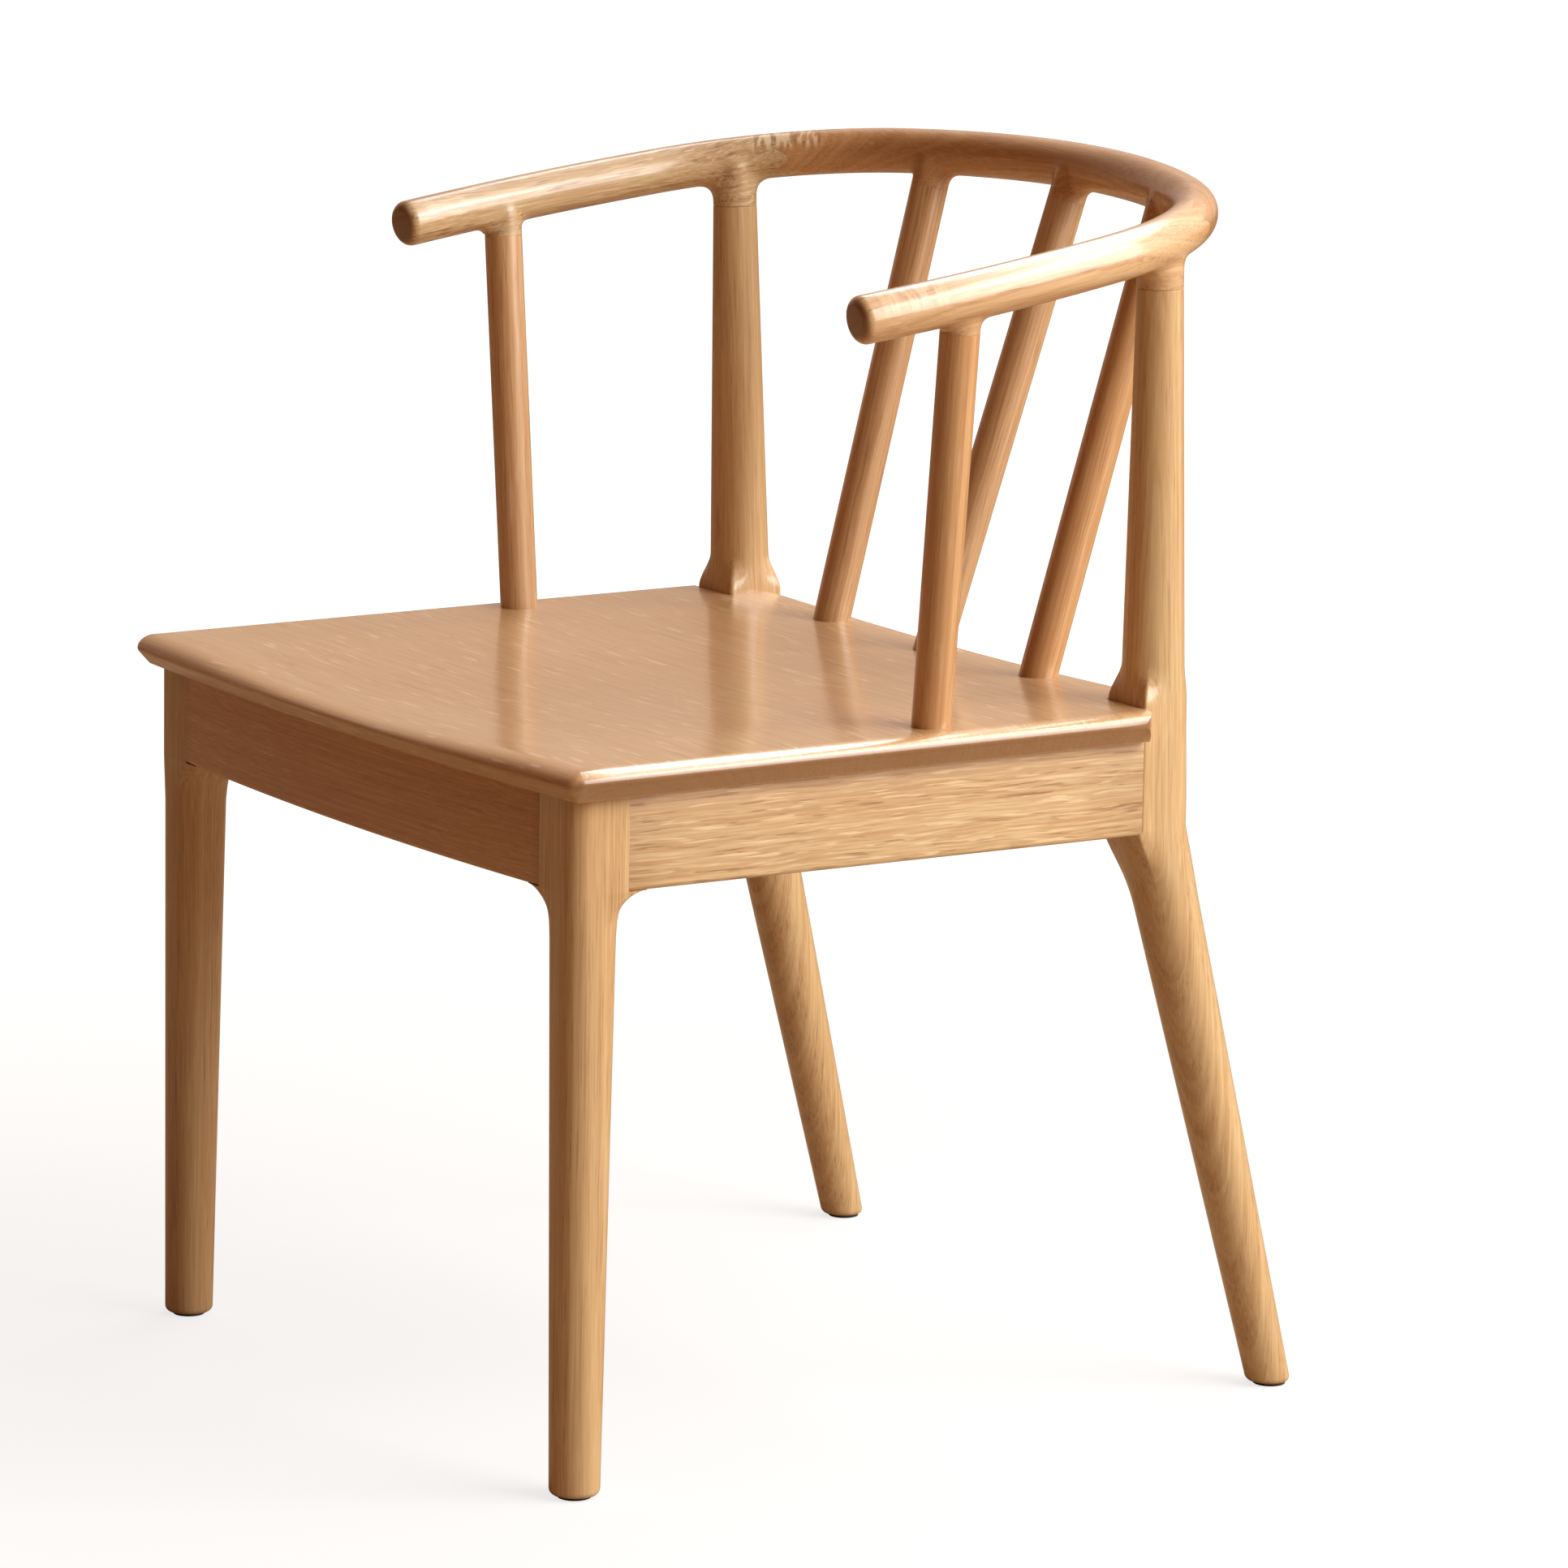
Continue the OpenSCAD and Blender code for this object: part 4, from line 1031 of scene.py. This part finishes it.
# Patches of rays: the rail's side, the place and reach along it, the way it faces, the amount
far_rays = (-1, FINGER_S + 3, 26, (0, -0.3, 1), 0.9)
tip_rays = (1, ARM_POST_S + 40, 24, (0.5, 0, 1), 0.35)
# The crest's tone is painted shade, for the dim light on its top
finish_piece("crest", crest_mesh(), ["crest_rail"], oak_warm, X, PLANE_W, tone=0.9,
             rays=far_rays)
arm_way = rail_at(RAIL_END)[0] - rail_at(FINGER_S + 60)[0]
# The arms' tones are painted shade, darker on the far arm, which is further from the light
both_sides("arm", "arm_rail", arm_mesh(), [oak, oak_board], arm_way, PLANE_W,
           board_and_shade_tones=(0.98, 0.86), rays=(tip_rays, far_rays))

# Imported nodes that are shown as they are; a block's screws come after the blocks
for stem, material in (("corner_block", beech), ("corner_block_screws", steel),
                       ("seat_screws", steel), ("glide", nylon)):
    for name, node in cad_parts.items():
        if name.startswith(stem):
            node.data.materials.clear()
            node.data.materials.append(material)

# ---- Camera ----
AZIMUTH, ELEVATION, ROLL = math.radians(56.68), math.radians(11.06), math.radians(1.01)
DISTANCE, LENS, SENSOR = 4.5557, 168.5, 36
AIM, AIM_RIGHT = Vector((0, -0.0345, 0.3681)), 0.07015     # looks this far right of a point


def place_camera():
    back = Vector((math.sin(AZIMUTH) * math.cos(ELEVATION),
                   -math.cos(AZIMUTH) * math.cos(ELEVATION), math.sin(ELEVATION)))
    right = Vector((math.cos(AZIMUTH), math.sin(AZIMUTH), 0))
    up = back.cross(right)
    turned = Matrix((right * math.cos(ROLL) + up * math.sin(ROLL),
                     up * math.cos(ROLL) - right * math.sin(ROLL), back)).transposed()
    data = bpy.data.cameras.new("camera")
    data.lens, data.sensor_width, data.clip_end = LENS, SENSOR, 100
    camera = new_object("camera", data)
    target = right * AIM_RIGHT + AIM
    camera.matrix_world = Matrix.Translation(target + back * DISTANCE) @ turned.to_4x4()
    bpy.context.scene.camera = camera


place_camera()


# ---- Light ----
LIT = Vector((0, 0, 0.45))         # the seat
WHITE = (1, 1, 1, 1)


def softbox(name, azimuth, elevation, distance, size, irradiance, colour=(1, 1, 1)):
    """Area light aimed at the seat; irradiance is what it gives there as a share of white."""
    a, e = math.radians(azimuth), math.radians(elevation)
    way = Vector((math.cos(a) * math.cos(e), math.sin(a) * math.cos(e), math.sin(e)))
    data = bpy.data.lights.new(name, "AREA")
    data.shape, data.size, data.size_y = "RECTANGLE", *size
    data.energy, data.color = irradiance * (math.pi * distance) ** 2, colour
    light = new_object(name, data)
    light.location = LIT + way * distance
    light.rotation_euler = (LIT - light.location).to_track_quat("-Z", "Y").to_euler()
    return light


softbox("key", 34, 28, 2.9, (2.2, 2.3), 1.03, (1.0, 0.985, 0.96))
softbox("strip", 90, 57, 2.6, (4.0, 0.4), 0.28)
gleam = softbox("gleam", 90, 57, 2.5, (4.4, 0.9), 0.85)
gleam.visible_diffuse = False      # it only shows in the lacquer


def lobe(tree, sky, light, direction, low, high, colour):
    """The room's light with more of a colour round a direction."""
    direction = tuple(Vector(direction).normalized())
    toward = vectors(tree, "DOT_PRODUCT", sky, direction, output="Value")
    more = toned(tree, colour, ramp(tree, toward, low, high))
    return vectors(tree, "ADD", light, more)


def light_room():
    """World: a dim warm room, brighter round the key and a little at the chair's far side, and
    white for the camera."""
    world = bpy.data.worlds.new("studio")
    world.use_nodes = True
    bpy.context.scene.world = world
    tree = world.node_tree
    tree.nodes.clear()
    sky = add(tree, "TexCoord").outputs["Generated"]
    light = lobe(tree, sky, (0.121, 0.029, 0.006), (0.35, 0.58, 0.60), 0.45, 0.95,
                 (0.95, 0.88, 0.78))
    light = lobe(tree, sky, light, (-0.84, 0.55, 0.05), 0.2, 0.9, (0.48, 0.38, 0.29))
    path = add(tree, "LightPath")
    colour = blend_colour(tree, path.outputs["Is Camera Ray"], light, WHITE)
    shown = add(tree, "Background", {"Color": colour, "Strength": 1.0})
    add(tree, "OutputWorld", {"Surface": shown.outputs[0]})


light_room()


# ---- Floor ----
FLOOR_R, FLOOR_POINTS = 30.0, 64
LIFT_NEAR, LIFT_FAR = 0.78, 1.0    # what lifts the floor to white, under the chair and away
LIFT_FROM, LIFT_TO = 0.5, 2.5      # from the middle, in metres
FLOOR_SHADE = (0.25, 0.25, 0.25, 1)        # for the camera, before the lift
FLOOR_BOUNCE = (0.42, 0.31, 0.20, 1)       # for the light that it throws back


def floor_mesh():
    points = [(FLOOR_R * math.cos(a), FLOOR_R * math.sin(a), 0)
              for a in np.linspace(0, 2 * math.pi, FLOOR_POINTS + 1)[:-1]]
    mesh = bpy.data.meshes.new("floor")
    mesh.from_pydata(points, [], [list(range(FLOOR_POINTS))])
    return mesh


def floor_material():
    """Pale floor whose own shade is lifted to white for the camera, keeping the shadow."""
    material, tree, _ = new_material("pale_floor")
    tree.nodes.clear()
    place = add(tree, "TexCoord").outputs["Object"]
    away = vectors(tree, "LENGTH", place, output="Value")
    seen = add(tree, "LightPath").outputs["Is Camera Ray"]
    lift = times(tree, seen, ramp(tree, away, LIFT_FROM, LIFT_TO, LIFT_NEAR, LIFT_FAR))
    glow = add(tree, "Emission", {"Strength": lift})
    shade = blend_colour(tree, seen, FLOOR_BOUNCE, FLOOR_SHADE)
    diffuse = add(tree, "BsdfDiffuse", {"Color": shade})
    both = add(tree, "AddShader", {0: diffuse.outputs[0], 1: glow.outputs[0]})
    add(tree, "OutputMaterial", {"Surface": both.outputs[0]})
    return material


floor = new_object("floor", floor_mesh())
floor.data.materials.append(floor_material())

bpy.context.scene.view_settings.view_transform = "Standard"
